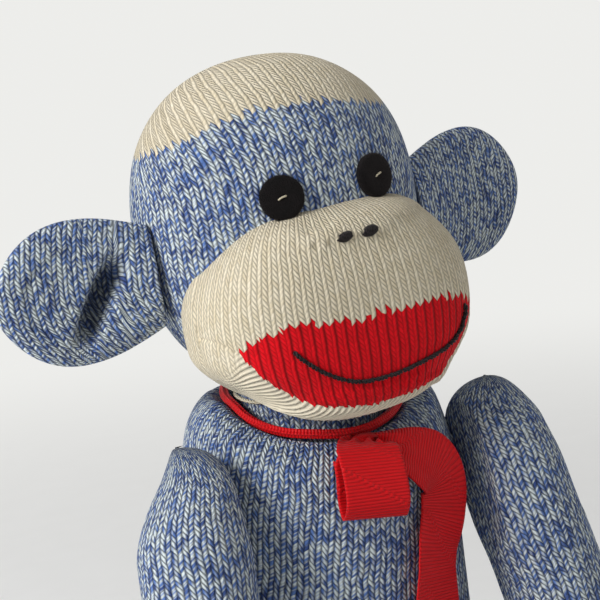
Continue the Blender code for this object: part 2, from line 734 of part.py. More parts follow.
def make_ribbon(doll, torso, torso_cutter):
    front_z = make_band(doll, torso, torso_cutter)
    knot_y = BAND_RADIUS + (BAND_THICKNESS + KNOT_THICKNESS) * HALF + GAP
    knot_at = Vector((0, -knot_y, front_z - KNOT_DROP))
    knot_cutter = make_knot(doll, torso_cutter, knot_at)
    inner = knot_at - FORWARD * LAYER_STEP
    outer = knot_at + FORWARD * LAYER_STEP
    tree = surface_of(torso)
    lying = GAP + RIBBON_THICKNESS * HALF
    tail_off = lying + 3 * (RIBBON_THICKNESS + GAP)
    loop_off = lying + 4 * (RIBBON_THICKNESS + GAP)

    quarter = Vector((0, 0, KNOT_HEIGHT * HALF * HALF))
    high = knot_at + quarter
    low = outer - quarter
    over = high + FORWARD * (KNOT_THICKNESS * HALF + RIBBON_THICKNESS + GAP)
    over.x += LOOP_SIDE * HALF
    front = [high, over]
    back = []
    for share in LOOP_SHARES:
        x = LOOP_SIDE * math.sqrt(share)
        z = front_z - LOOP_LENGTH * share
        full = math.sin(math.pi * HALF * min(share / LOOP_FULL_SHARE, 1))
        front.append(on_chest(tree, x, z, loop_off + LOOP_DEPTH * full)[0])
        back.append(on_chest(tree, x, z, loop_off)[0])
    turn, level = on_chest(tree, LOOP_SIDE, front_z - LOOP_LENGTH, loop_off + LOOP_DEPTH * HALF)
    lean = Matrix.Rotation(math.radians(LOOP_LEAN_DEG), 3, "Y") @ level
    line = smooth_line([*front, turn, *reversed(back), low], 30)
    loop = strip("ribbon_loop", line, necked(30, True), [lean] * 30, RIBBON_THICKNESS, "red_ribbon", doll)
    cut(loop, knot_cutter)
    cut(loop, torso_cutter)

    long_points = []
    normals = []
    for side, drop in zip(LONG_TAIL_SIDE_SHARES, LONG_TAIL_DROP_SHARES):
        place, normal = from_front(tree, LONG_TAIL_SIDE * side, front_z - LONG_TAIL_LENGTH * drop)
        long_points.append(place + normal * tail_off)
        normals.append(normal)
    line = smooth_line([knot_at, *long_points], 24)
    across = np.cross(smooth_line([normals[0], *normals], 24), np.gradient(line, axis=0))
    tail = strip("ribbon_tail_long", line, necked(24, False), across, RIBBON_THICKNESS, "red_ribbon", doll)
    cut(tail, knot_cutter)

    short_points = []
    for share in STUB_SHARES:
        x = SHORT_TAIL_SIDE * share
        place, level = on_chest(tree, x, front_z - SHORT_TAIL_LENGTH * share, lying)
        short_points.append(place)
    line = smooth_line([inner - quarter, *short_points], 12)
    widths = necked(12, False)
    stub = strip("ribbon_tail_short", line, widths, [level] * 12, RIBBON_THICKNESS, "red_ribbon", doll)
    cut(stub, knot_cutter)
    cut(stub, torso_cutter)


def ring_solid(name, rings, material, parent):
    """A closed ring through rings of points, the last one joined to the first."""
    mesh = bpy.data.meshes.new(name)
    made = bpy.data.objects.new(name, mesh)
    built = bmesh.new()
    rows = [[built.verts.new(point) for point in ring] for ring in rings]
    for row, following in zip(rows, rows[1:] + rows[:1]):
        for i in range(len(row)):
            j = (i + 1) % len(row)
            built.faces.new((row[i], row[j], following[j], following[i]))
    bmesh.ops.recalc_face_normals(built, faces=built.faces)
    built.to_mesh(mesh)
    built.free()
    mesh.materials.append(bpy.data.materials[material])
    mesh.shade_smooth()
    made.parent = parent
    bpy.context.collection.objects.link(made)
    return made


def make_neck(doll, pose, torso):
    neck_place = Vector((0, 0, NECK_Z))
    collar = empty("neck_pivot", neck_place, doll)
    lathe("neck", neck_outline(0, NECK_STEM), NECK_SIDES, "mottled_blue", collar)
    well = lathe("neck_well", neck_outline(GAP, NECK_STEM + GAP), NECK_SIDES, "mottled_blue", collar)
    cut(torso, well)
    radius = THREAD_DIAMETER * HALF
    clear = NECK_RADIUS + GAP + THREAD_DIAMETER + GAP
    low = -clear * math.sin(math.radians(THREAD_DIP_DEG))
    outline = ((0, OVERRUN), (clear, OVERRUN), (clear, low), (0, low))
    cut(torso, lathe("thread_space", outline, NECK_SIDES, "mottled_blue", collar))
    rings = []
    for i in range(NECK_SIDES):
        angle = TURN * i / NECK_SIDES
        out = Vector((math.cos(angle), math.sin(angle), 0))
        centre = out * (NECK_RADIUS + GAP + radius)
        turn = [TURN * j / 6 for j in range(6)]
        rings.append([centre + radius * (out * math.cos(a) + Vector((0, 0, math.sin(a)))) for a in turn])
    ring_solid("neck_thread", rings, "cream_thread", pose)


def sphere(name, radius, parent):
    rows = round(NECK_RINGS * math.pi / math.radians(NECK_BALL_DEG))
    polars = [math.pi * i / rows for i in range(rows + 1)]
    outline = [(radius * math.sin(polar), radius * math.cos(polar)) for polar in polars]
    return lathe(name, outline, NECK_SIDES, "mottled_blue", parent)


def main():
    clear_scene()
    make_materials()
    leg_back = -HIP_FORWARD + HIP_DIAMETER * HALF + GAP
    seat_back = SEAT_BACK + TORSO_DEPTH * HALF * TORSO_RADIUS_SHARES[0]
    doll = empty("doll", Vector((0, -(leg_back + seat_back) * HALF, 0)))

    torso = make_torso(doll)
    torso_cutter = grown(torso, "torso_grown", doll)
    make_tail(doll, torso)
    make_ribbon(doll, torso, torso_cutter)
    cut(torso, prism("lap_space", lap_outline(), TORSO_WIDTH, doll))

    pose = empty("head_pose", Vector((0, 0, NECK_Z)), doll, HEAD_TILT_DEG)
    make_neck(doll, pose, torso)
    head = make_head(pose)
    head_cutter = grown(head, "head_grown", pose)
    muzzle = make_muzzle(pose)
    muzzle_cutter = grown(muzzle, "muzzle_grown", pose)
    make_eyes(pose, head, head_cutter, muzzle_cutter)
    make_nostrils(pose, muzzle, muzzle_cutter)
    make_smile(pose, muzzle)
    cut(muzzle, head_cutter)
    cut(muzzle, sphere("throat", THROAT_RADIUS, pose))
    for side, sign in (("left", 1), ("right", -1)):
        make_ear(side, sign, pose, head)
        make_arm(side, sign, doll)
        make_leg(side, sign, doll)
    cut(head, sphere("neck_socket", NECK_RADIUS + GAP, pose))


main()
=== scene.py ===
"""A sock monkey doll's knitted skins, felt, thread and ribbon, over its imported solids.

Metres, +Z up, the doll faces -Y. The stuffed pieces are skins with a stitch map, so that the knitted
material's columns and rows follow each piece as the real ones do.
"""

import math

import bmesh
import bpy
import numpy as np
from mathutils import Matrix, Vector, kdtree, noise
from mathutils.bvhtree import BVHTree

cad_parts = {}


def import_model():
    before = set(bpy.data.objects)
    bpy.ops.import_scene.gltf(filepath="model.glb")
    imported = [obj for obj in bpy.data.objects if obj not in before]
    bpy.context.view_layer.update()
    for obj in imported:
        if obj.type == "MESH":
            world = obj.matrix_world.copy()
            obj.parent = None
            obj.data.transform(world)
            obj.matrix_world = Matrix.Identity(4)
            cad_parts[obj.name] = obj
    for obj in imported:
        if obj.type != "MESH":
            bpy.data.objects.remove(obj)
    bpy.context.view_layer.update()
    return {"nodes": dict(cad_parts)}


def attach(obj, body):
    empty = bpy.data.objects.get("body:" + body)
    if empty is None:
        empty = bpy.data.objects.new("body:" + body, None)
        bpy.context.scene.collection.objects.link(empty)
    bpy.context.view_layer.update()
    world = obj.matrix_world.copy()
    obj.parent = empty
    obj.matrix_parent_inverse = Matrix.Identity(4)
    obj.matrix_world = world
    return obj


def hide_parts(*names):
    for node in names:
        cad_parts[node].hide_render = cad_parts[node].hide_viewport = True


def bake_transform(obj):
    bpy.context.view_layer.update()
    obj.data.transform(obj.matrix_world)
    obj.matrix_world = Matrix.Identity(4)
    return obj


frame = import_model()

TURN = 2 * math.pi
MM = 0.001

# The knit: width of a column of stitches and height of a row
COLUMN = 0.0037
ROW = 0.00175

# The middle of the torso, the neck's hinge with the head's lean, and the ears' height over the hinge
NECK_Z = 0.172
DOLL = Vector((0, -0.0228, 0))
NECK = DOLL + Vector((0, 0, NECK_Z))
LEAN = Matrix.Rotation(math.radians(-3.5), 4, "Y")
POSE = Matrix.Translation(NECK) @ LEAN
EARS_Z = 0.047

# The camera, fitted to the photograph, which shows the point HEAD at HEAD_PIXEL
PHOTO = 600
PIXEL = 0.000327
DISTANCE = 0.62
AZIMUTH, ELEVATION, ROLL = (math.radians(a) for a in (-27, 8, 6.5))
HEAD = Vector((-0.00287, DOLL.y, 0.21891))
HEAD_PIXEL = (286, 242)


def view_axes():
    right = Vector((math.cos(AZIMUTH), math.sin(AZIMUTH), 0))
    back = Vector((math.sin(AZIMUTH) * math.cos(ELEVATION), -math.cos(AZIMUTH) * math.cos(ELEVATION),
                   math.sin(ELEVATION)))
    up = back.cross(right)
    return (right * math.cos(ROLL) - up * math.sin(ROLL), up * math.cos(ROLL) + right * math.sin(ROLL), back)


RIGHT, UP, BACK = view_axes()
EYE_POINT = HEAD + BACK * DISTANCE


def from_photo(tree, x, y):
    """The point of a surface behind a pixel of the photograph."""
    step = RIGHT * (x - HEAD_PIXEL[0]) * PIXEL - UP * (y - HEAD_PIXEL[1]) * PIXEL
    ahead = (HEAD + step - EYE_POINT).normalized()
    return tree.ray_cast(EYE_POINT, ahead)[0]


def hit(tree, start, ahead):
    """Where a ray meets a surface, and the surface's normal on the side that the ray comes from."""
    place, normal, _, _ = tree.ray_cast(start, ahead)
    return place, -normal if normal.dot(ahead) > 0 else normal


# Lines, grids and skins

def smooth_line(points, count, crowd_ends=False):
    """Points spaced along one smooth curve through the given ones."""
    given = np.array([tuple(point) for point in points], float)
    padded = np.vstack([2 * given[0] - given[1], given, 2 * given[-1] - given[-2]])
    dense = []
    for a, b, c, d in zip(padded, padded[1:], padded[2:], padded[3:]):
        for t in np.linspace(0, 1, 24, endpoint=False):
            bent = (c - a) * t + (2 * a - 5 * b + 4 * c - d) * t**2
            dense.append(b + 0.5 * (bent + (3 * b - a - 3 * c + d) * t**3))
    dense.append(given[-1])
    dense = np.array(dense)
    run = along(dense)
    share = np.linspace(0, 1, count)
    if crowd_ends:
        share = 0.5 - 0.5 * np.cos(math.pi * share)
    return np.stack([np.interp(share * run[-1], run, column) for column in dense.T], axis=1)


def along(line):
    """Length run so far at each point of a line."""
    steps = np.linalg.norm(np.diff(line, axis=0), axis=-1)
    return np.concatenate([np.zeros((1, *steps.shape[1:])), np.cumsum(steps, axis=0)])


def eased(share):
    """0 up to 0 and 1 from 1 on, with a smooth rise between."""
    share = np.clip(share, 0, 1)
    return share * share * (3 - 2 * share)


def evened(values, span, ends="edge"):
    """A running mean over a row of values."""
    return np.convolve(np.pad(values, span // 2, ends), np.ones(span) / span, "valid")


def unit(vectors):
    """The same directions at length 1."""
    return vectors / (np.linalg.norm(vectors, axis=-1, keepdims=True) + 1e-12)


def table(places, values, at):
    """A smooth run through a short table of values."""
    line = smooth_line(list(zip(places, values)), 400)
    return np.interp(at, line[:, 0], line[:, 1])


def world(matrix, points):
    m = np.array(matrix)
    return np.asarray(points) @ m[:3, :3].T + m[:3, 3]


def make(name, verts, faces, corners, zones=None, smooth=True):
    """A mesh piece with its stitch map, given for each corner of each face, and its zones for each point.
    The map is turned so that its columns, its rows and the way out make a right hand, as in every knit."""
    mesh = bpy.data.meshes.new(name)
    mesh.from_pydata([tuple(v) for v in verts], [], faces)
    layer = mesh.uv_layers.new(name="stitch")
    layer.data.foreach_set("uv", np.array(corners, dtype=np.float32).ravel())
    for zone, values in (zones or {}).items():
        data = mesh.attributes.new(zone, "FLOAT", "POINT")
        data.data.foreach_set("value", np.array(values, dtype=np.float32))
    piece = bpy.data.objects.new(name, mesh)
    bpy.context.collection.objects.link(piece)
    built = bmesh.new()
    built.from_mesh(mesh)
    bmesh.ops.recalc_face_normals(built, faces=built.faces)
    right_hand(built)
    built.to_mesh(mesh)
    built.free()
    if smooth:
        mesh.shade_smooth()
    return piece


def right_hand(built):
    """Mirrors the stitch map where it makes a left hand."""
    layer = built.loops.layers.uv.active
    hands = 0.0
    for face in built.faces:
        a, b, c = (loop[layer].uv for loop in face.loops[:3])
        hands += (b - a).cross(c - a)
    if hands < 0:
        for face in built.faces:
            for loop in face.loops:
                loop[layer].uv.x *= -1


def skin(name, grid, stitch, ends=(None, None), zones=None, wrap=True, period=0.0, tips=(None, None)):
    """A closed skin over rows of points. Its stitch map runs on by the period where the skin closes round,
    ends are the points that close its first and last rows, and tips are their places in the map."""
    rows, cols = grid.shape[:2]
    verts = list(grid.reshape(-1, 3))
    values = {k: list(np.asarray(v, float).ravel()) for k, v in (zones or {}).items()}
    flat = list(np.asarray(stitch, float).reshape(-1, 2))
    faces = []
    last = cols if wrap else cols - 1
    for i in range(rows - 1):
        for j in range(last):
            k = (j + 1) % cols
            faces.append((i * cols + j, i * cols + k, (i + 1) * cols + k, (i + 1) * cols + j))
    for row, tip, tip_stitch in ((0, ends[0], tips[0]), (rows - 1, ends[1], tips[1])):
        if tip is None:
            continue
        verts.append(np.array(tip))
        flat.append(np.array(tip_stitch) if tip_stitch is not None else flat[row * cols] * (0, 1))
        for k in values:
            values[k].append(float(np.mean(np.asarray(zones[k])[row])))
        for j in range(last):
            k = (j + 1) % cols
            faces.append((row * cols + j, row * cols + k, len(verts) - 1))
    tip_points = {len(verts) - 1, len(verts) - 2} if ends[0] is not None and tips[0] is None else set()
    corners = []
    for face in faces:
        first = flat[face[0]][0]
        near = []
        for point in face:
            u, v = flat[point]
            if period:
                u += period * round((first - u) / period)
            if point in tip_points and len(face) == 3:
                u = first
            near.append((u, v))
        corners += near
    return make(name, verts, faces, corners, values)


def ring_stitch(count, cols, rows_v):
    """A stitch map with its columns spread evenly round a skin."""
    u = np.arange(cols)[None, :] * count / cols * np.ones((rows_v.shape[0], 1))
    return np.stack([u, rows_v * np.ones((1, cols))], axis=2)


def tube_grid(line, radii, sides, wide=None):
    """Rings square to a line, each starting from the same side."""
    ahead = unit(np.gradient(line, axis=0))
    side = np.array(wide if wide is not None else np.cross(ahead[0], (0.0, 1.0, 0.0)))
    turn = np.linspace(0, TURN, sides, endpoint=False)[:, None]
    rings = []
    for centre, forward, radius in zip(line, ahead, radii):
        side = unit(side - forward * side.dot(forward))
        other = np.cross(forward, side)
        rings.append(centre + radius * (side * np.cos(turn) + other * np.sin(turn)))
    return np.array(rings)


def thread_tubes(name, strands, sides=6):
    """Round threads, each a (line, radii) pair, as one mesh."""
    verts, faces, corners = [], [], []
    for line, radii in strands:
        base = len(verts)
        run = along(line) / MM
        rings = tube_grid(line, radii, sides)
        verts += list(rings.reshape(-1, 3))
        for i in range(len(rings) - 1):
            here, beyond = base + i * sides, base + (i + 1) * sides
            for j in range(sides):
                k = (j + 1) % sides
                faces.append((here + j, here + k, beyond + k, beyond + j))
                corners += [(j / sides, run[i]), ((j + 1) / sides, run[i]),
                            ((j + 1) / sides, run[i + 1]), (j / sides, run[i + 1])]
        for row in (0, len(rings) - 1):
            faces.append(tuple(base + row * sides + j for j in range(sides)))
            corners += [(j / sides, run[row]) for j in range(sides)]
    return make(name, verts, faces, corners)


PLIES = 2


def twisted(line, radius, pitch, count=None, start=0.0):
    """Plies wound round each other along a line: (line, radii) pairs that thin out at both ends."""
    run = along(np.array(line))
    fine = smooth_line(line, count or max(int(run[-1] / pitch * 10), 8))
    run = along(fine)
    ahead = unit(np.gradient(fine, axis=0))
    side = unit(np.cross(ahead, (0.3, 0.2, 0.93)))
    other = np.cross(ahead, side)
    thin = np.sqrt(np.clip(np.minimum(run, run[-1] - run) / radius, 0.05, 1))
    strands = []
    for k in range(PLIES):
        turn = (TURN * run / pitch + TURN * k / PLIES + start)[:, None]
        centre = fine + (side * np.cos(turn) + other * np.sin(turn)) * radius * 0.5 * thin[:, None]
        strands.append((centre, radius * 0.56 * thin))
    return strands


def tree_of(piece):
    mesh = piece.data
    return BVHTree.FromPolygons([v.co for v in mesh.vertices], [tuple(p.vertices) for p in mesh.polygons])


def soften(piece, size, depth, seed):
    """Uneven stuffing: dents that only go inward."""
    mesh = piece.data
    before = [(v.co.copy(), v.normal.copy()) for v in mesh.vertices]
    for vertex, (point, normal) in zip(mesh.vertices, before):
        uneven = noise.noise(point / size + Vector((seed, 2 * seed, 0)))
        vertex.co = point - normal * depth * (0.5 + 0.5 * uneven)


def keep_above(piece, level):
    for vertex in piece.data.vertices:
        vertex.co.z = max(vertex.co.z, level)


CLOTH_PRESSURE, CLOTH_FRAMES, CLOTH_NEAREST = 4, 20, 6


def blown_up(source, name, voxel):
    """Points of a solid's even skin before and after it is blown up as cloth."""
    copy = bpy.data.objects.new(name, source.data.copy())
    bpy.context.collection.objects.link(copy)
    remesh = copy.modifiers.new("remesh", "REMESH")
    remesh.mode = "VOXEL"
    remesh.voxel_size = voxel
    plain = copy.evaluated_get(bpy.context.evaluated_depsgraph_get())
    mesh = bpy.data.meshes.new_from_object(plain)
    copy.modifiers.clear()
    copy.data = mesh
    before = np.array([tuple(v.co) for v in mesh.vertices])
    cloth = copy.modifiers.new("cloth", "CLOTH")
    cloth.settings.use_pressure = True
    cloth.settings.uniform_pressure_force = CLOTH_PRESSURE
    cloth.settings.effector_weights.gravity = 0
    cloth.point_cache.frame_start = 1
    cloth.point_cache.frame_end = CLOTH_FRAMES
    for number in range(1, CLOTH_FRAMES + 1):
        bpy.context.scene.frame_set(number)
    done = copy.evaluated_get(bpy.context.evaluated_depsgraph_get())
    after = np.array([tuple(v.co) for v in done.data.vertices])
    bpy.data.objects.remove(copy)
    bpy.context.scene.frame_set(1)
    return before, after


def swell(piece, node, most=0.0008, voxel=0.005):
    """Carries the swelling of the stuffed solid's cloth over to its fine skin, as far as a limit."""
    before, after = blown_up(frame["nodes"][node], f"{piece.name}_cloth", voxel)
    moved = after - before
    level = np.median(np.linalg.norm(moved, axis=1))
    tree = kdtree.KDTree(len(before))
    for k, point in enumerate(before):
        tree.insert(point, k)
    tree.balance()
    for vertex in piece.data.vertices:
        total, weight = np.zeros(3), 0.0
        for _, k, far in tree.find_n(vertex.co, CLOTH_NEAREST):
            w = 1 / (far + voxel * 0.2) ** 2
            total += moved[k] * w
            weight += w
        length = np.linalg.norm(total / weight)
        if length > 0:
            rise = min(max(length - level, -most), most * 0.5) - most * 0.5
            vertex.co += Vector(total / weight / length * rise)


# Node wires and materials

class Wire:
    """A value in a node tree that plain sums can use."""

    def __init__(self, tree, socket):
        self.tree, self.socket = tree, socket

    def math(self, operation, *others):
        node = self.tree.nodes.new("ShaderNodeMath")
        node.operation = operation
        for slot, value in zip(node.inputs, (self, *others)):
            feed(self.tree, value, slot)
        return Wire(self.tree, node.outputs[0])

    def __add__(self, other):
        return self.math("ADD", other)

    def __sub__(self, other):
        return self.math("SUBTRACT", other)

    def __mul__(self, other):
        return self.math("MULTIPLY", other)

    def __gt__(self, other):
        return self.math("GREATER_THAN", other)

    def floor(self):
        return self.math("FLOOR")

    def abs(self):
        return self.math("ABSOLUTE")

    def power(self, other):
        return self.math("POWER", other)

    def sin(self):
        return self.math("SINE")

    def high(self, other):
        return self.math("MAXIMUM", other)

    def ramp(self, low, high, to_low=0.0, to_high=1.0):
        node = self.tree.nodes.new("ShaderNodeMapRange")
        node.interpolation_type = "SMOOTHSTEP"
        feed(self.tree, self, node.inputs["Value"])
        for name, value in (("From Min", low), ("From Max", high), ("To Min", to_low), ("To Max", to_high)):
            feed(self.tree, value, node.inputs[name])
        return Wire(self.tree, node.outputs["Result"])


def feed(tree, value, slot):
    if isinstance(value, Wire):
        tree.links.new(value.socket, slot)
    else:
        slot.default_value = value


def apart(tree, vector):
    node = tree.nodes.new("ShaderNodeSeparateXYZ")
    feed(tree, vector, node.inputs[0])
    return [Wire(tree, out) for out in node.outputs]


def together(tree, x, y, z=0.0):
    node = tree.nodes.new("ShaderNodeCombineXYZ")
    for slot, value in zip(node.inputs, (x, y, z)):
        feed(tree, value, slot)
    return Wire(tree, node.outputs[0])


def speckle(tree, vector):
    """An even random value for each whole-numbered place."""
    node = tree.nodes.new("ShaderNodeTexWhiteNoise")
    feed(tree, vector, node.inputs["Vector"])
    split = tree.nodes.new("ShaderNodeSeparateColor")
    tree.links.new(node.outputs["Color"], split.inputs[0])
    return [Wire(tree, out) for out in split.outputs]


def cloud(tree, vector, scale, detail=2.0):
    node = tree.nodes.new("ShaderNodeTexNoise")
    feed(tree, vector, node.inputs["Vector"])
    node.inputs["Scale"].default_value = scale
    node.inputs["Detail"].default_value = detail
    return Wire(tree, node.outputs["Fac"])


def blend_colours(tree, share, a, b):
    node = tree.nodes.new("ShaderNodeMix")
    node.data_type = "RGBA"
    feed(tree, share, node.inputs["Factor"])
    for slot, value in ((node.inputs[6], a), (node.inputs[7], b)):
        feed(tree, value if isinstance(value, Wire) else (*linear(value), 1), slot)
    return Wire(tree, node.outputs[2])


def shaded(tree, colour, share):
    """A colour darkened or lightened by a value."""
    node = tree.nodes.new("ShaderNodeHueSaturation")
    feed(tree, colour if isinstance(colour, Wire) else (*linear(colour), 1), node.inputs["Color"])
    feed(tree, share, node.inputs["Value"])
    return Wire(tree, node.outputs[0])


def linear(colour):
    return tuple(c / 12.92 if c <= 0.04045 else ((c + 0.055) / 1.055) ** 2.4 for c in colour)


def chart(tree):
    node = tree.nodes.new("ShaderNodeUVMap")
    node.uv_map = "stitch"
    return Wire(tree, node.outputs[0])


def zone(tree, name):
    node = tree.nodes.new("ShaderNodeAttribute")
    node.attribute_name = name
    return Wire(tree, node.outputs["Fac"])


def object_place(tree):
    return Wire(tree, tree.nodes.new("ShaderNodeTexCoord").outputs["Object"])


def new_material(name):
    made = bpy.data.materials.new(name)
    made.use_nodes = True
    return made, made.node_tree, made.node_tree.nodes["Principled BSDF"]


def finish_shader(tree, shader, colour, height, depth, roughness=0.9, sheen=0.08, sheen_colour=(1, 1, 1)):
    feed(tree, colour, shader.inputs["Base Color"])
    shader.inputs["Sheen Weight"].default_value = sheen
    shader.inputs["Sheen Roughness"].default_value = 0.5
    shader.inputs["Sheen Tint"].default_value = (*sheen_colour, 1)
    shader.inputs["Specular IOR Level"].default_value = 0.2
    feed(tree, roughness, shader.inputs["Roughness"])
    bump = tree.nodes.new("ShaderNodeBump")
    bump.inputs["Distance"].default_value = depth
    bump.inputs["Strength"].default_value = 1.0
    feed(tree, height, bump.inputs["Height"])
    tree.links.new(bump.outputs[0], shader.inputs["Normal"])


# A stitch has a slanted and an upright leg: the slanted one's share of its column, how many rows each one
# leans by, and how many rows the upright one lies lower
SLANTED, SLOPE, UPRIGHT_SLOPE, STAGGER = 0.56, 0.66, -0.34, 0.3

BLUE, DARK_BLUE, FLECK = (0.37, 0.49, 0.73), (0.22, 0.30, 0.52), (0.83, 0.87, 0.88)
CREAM, CREAM_DEEP = (0.90, 0.86, 0.77), (0.79, 0.73, 0.60)
RED, RED_DEEP = (0.90, 0.03, 0.10), (0.74, 0.01, 0.05)


def knit(tree, loose=1.0, tooth=0.0):
    """Columns of stitches, each with one slanted leg and one nearly upright leg, as high-twist yarn knits."""
    place = chart(tree)
    drift = cloud(tree, place, 0.13, 1.0) - 0.5
    sway = cloud(tree, place, 0.6, 0.0) - 0.5
    lean = cloud(tree, place, 0.08, 1.0) - 0.5
    u, v, _ = apart(tree, place)
    u = u + drift * (0.5 * loose) + sway * (0.16 * loose)
    v = v + lean * (1.4 * loose)
    column = u.floor()
    part = u - column
    upright = part > SLANTED
    slanted = upright * -1 + 1
    across = (part - upright * SLANTED).math("DIVIDE", upright * (1 - 2 * SLANTED) + SLANTED) * 2 - 1
    level = v + across * (upright * (UPRIGHT_SLOPE - SLOPE) + SLOPE) + upright * STAGGER
    row = level.floor()
    run = level - row
    leg = speckle(tree, together(tree, column, row, upright))
    lane = speckle(tree, together(tree, column, upright, 7.0))
    edge = (across * across * -1 + 1).high(0.0)
    bar = (run * math.pi).sin().high(0.0)
    slanted_thick = edge.power(0.9) * (bar.power(1.1) * 0.88 + 0.12)
    upright_thick = edge.power(1.1) * (bar * 0.42 + 0.5)
    thick = slanted * slanted_thick + upright * upright_thick
    fuzz = cloud(tree, together(tree, u, v * 0.6, 3.0), 5.5, 2.0) - 0.5
    height = thick * (leg[1] * 0.3 + 0.78) + fuzz * 0.3
    middle = row + 0.5 - upright * STAGGER
    shift = middle - v + upright * tooth + (lane[1] - 0.5) * tooth
    return {"part": part, "row": row, "across": across, "run": run, "leg": leg, "lane": lane,
            "upright": upright, "height": height, "shift": shift}


def marl(tree, k):
    """Yarn of a pale and a blue strand twisted together, each stretch showing more of one of them."""
    stretch = cloud(tree, together(tree, k["lane"][0] * 90, k["row"] * 0.36, k["upright"] * 5), 1.0, 1.0) - 0.5
    turned = k["upright"] * (k["run"] - k["across"] * 0.42) + k["across"] * 0.42
    twist = ((turned + k["leg"][2] * 0.5) * TURN).sin()
    share = (stretch * 1.7 + (k["leg"][0] - 0.5) * 0.9 + twist * 0.45 - 0.08).ramp(-0.55, 0.55)
    blues = blend_colours(tree, k["leg"][1], DARK_BLUE, BLUE)
    return blend_colours(tree, share, blues, FLECK)


def plain_yarn(tree, k, light, deep):
    return blend_colours(tree, k["leg"][0] * 0.45 + k["lane"][0] * 0.15, light, deep)


def knit_painted_shade(tree, k, colour, darkest_shade=0.34):
    """Painted shade between the legs, where thread shades thread, and a little painted light on their tops."""
    return shaded(tree, colour, k["height"].ramp(0.1, 0.7, darkest_shade, 1.08))


def mottled_material(name, zoned=False, painted_crease_shade=False):
    """Mottled knit, cream past the zone's edge on a zoned skin, and with painted shade inside the crease on the folded
    ear's skin.
    """
    made, tree, shader = new_material(name)
    k = knit(tree, tooth=0.7)
    # Each knit colour here gets painted shade between its legs.
    colour = knit_painted_shade(tree, k, marl(tree, k))
    if zoned:
        edge = zone(tree, "cream") + k["shift"]
        plain = knit_painted_shade(tree, k, plain_yarn(tree, k, CREAM, CREAM_DEEP), 0.72)
        colour = blend_colours(tree, edge > 0, colour, plain)
    if painted_crease_shade:
        # Painted shade: darker where the ear's fold is deep, read from its dent zone.
        colour = shaded(tree, colour, zone(tree, "dent") * -0.75 + 1)
    finish_shader(tree, shader, colour, k["height"], 0.0006)
    return made


def muzzle_material():
    """Cream knit with red lips, their edges stepping by whole stitches, and a ribbed cream hem below."""
    made, tree, shader = new_material("muzzle_knit")
    k = knit(tree, 0.6, 0.4)
    # Both the cream and the red get painted shade between the legs.
    cream = knit_painted_shade(tree, k, plain_yarn(tree, k, CREAM, CREAM_DEEP), 0.66)
    # Painted shade in the grooves between the red ribs; the same profile also shapes the ribs' bump.
    groove = (k["part"] * math.pi).sin().high(0.0).ramp(0.0, 0.75, 0.45, 1.0)
    red = shaded(tree, knit_painted_shade(tree, k, plain_yarn(tree, k, RED, RED_DEEP), 0.8), groove)
    below = zone(tree, "under_top") - k["shift"]
    above = zone(tree, "over_bottom") + k["shift"] * 0.4
    lips = (below > 0) * (above > 0)
    colour = blend_colours(tree, lips, cream, red)
    hem = zone(tree, "hem").high(0.0) * (above * -1 > 0)
    cord = (zone(tree, "hem_turns") * TURN).sin() * 0.5 + 0.5
    # Painted shade between the hem's cords, which also shape its bump.
    colour = blend_colours(tree, hem, colour, shaded(tree, CREAM, cord.ramp(0.0, 0.75, 0.74, 1.02)))
    ribbed = k["height"] * 0.45 + groove * 0.6
    height = (k["height"] * (lips * -1 + 1) + ribbed * lips) * (hem * -1 + 1) + cord.power(0.6) * hem * 1.5
    finish_shader(tree, shader, colour, height, 0.0004, sheen=0.05)
    return made


def felt_material():
    made, tree, shader = new_material("black_felt_fibres")
    place = object_place(tree)
    fibre = cloud(tree, place, 2600, 3.0)
    patch = cloud(tree, place, 500, 2.0)
    share = (fibre * 0.7 + patch * 0.5).ramp(0.4, 0.85)
    colour = blend_colours(tree, share, (0.012, 0.009, 0.011), (0.065, 0.05, 0.055))
    finish_shader(tree, shader, colour, fibre, 0.0004, 0.95, 0.12, (0.35, 0.28, 0.28))
    return made


def thread_material(name, light, deep, roughness=0.6):
    made, tree, shader = new_material(name)
    side, run, _ = apart(tree, chart(tree))
    # The stripes along the twist are painted highlight and shade on the plies; the fuzz is the thread's own uneven
    # tone.
    strand = ((side * 2 + run * 0.9) * TURN).sin() * 0.5 + 0.5
    fuzz = cloud(tree, object_place(tree), 1500, 2.0)
    colour = blend_colours(tree, strand * 0.6 + fuzz * 0.4, deep, light)
    finish_shader(tree, shader, colour, strand, 0.0001, roughness, 0.05)
    return made


RIB_PITCH, SELVEDGE = 1.05, (9.9, 10.3)


def ribbon_material():
    """Grosgrain: ribs across the ribbon and a corded selvedge along each edge."""
    made, tree, shader = new_material("red_grosgrain")
    across, run, _ = apart(tree, chart(tree))
    turn = run * (TURN / 2 / RIB_PITCH)
    rib = turn.sin().abs()
    edge = across.abs().ramp(*SELVEDGE)
    bead = (turn + 0.8).sin().abs()
    height = rib * (edge * -1 + 1) + bead * edge * 1.2
    worn = cloud(tree, together(tree, across, run, 0.0), 0.35, 3.0)
    fine = cloud(tree, together(tree, across * 3.0, run * 0.6, 0.0), 2.4, 1.0)
    # Painted shade in the grooves between the ribs and the selvedge beads, times the ribbon's own uneven tone.
    shade = height.ramp(0.0, 0.8, 0.74, 1.04) * (worn * 0.16 + 0.92) * (fine * 0.14 + 0.93)
    colour = shaded(tree, (0.85, 0.04, 0.08), shade)
    finish_shader(tree, shader, colour, height, 0.00025, fine.ramp(0.2, 0.8, 0.42, 0.6), 0.12, (1.0, 0.35, 0.35))
    return made


BACKGROUND = (0.93, 0.93, 0.92)


def seen_by_eye(tree):
    """1 for what the camera sees, also in mirrors and through glass."""
    path = tree.nodes.new("ShaderNodeLightPath")
    rays = [Wire(tree, path.outputs[f"Is {kind} Ray"]) for kind in ("Camera", "Glossy", "Transmission")]
    return rays[0].high(rays[1]).high(rays[2])


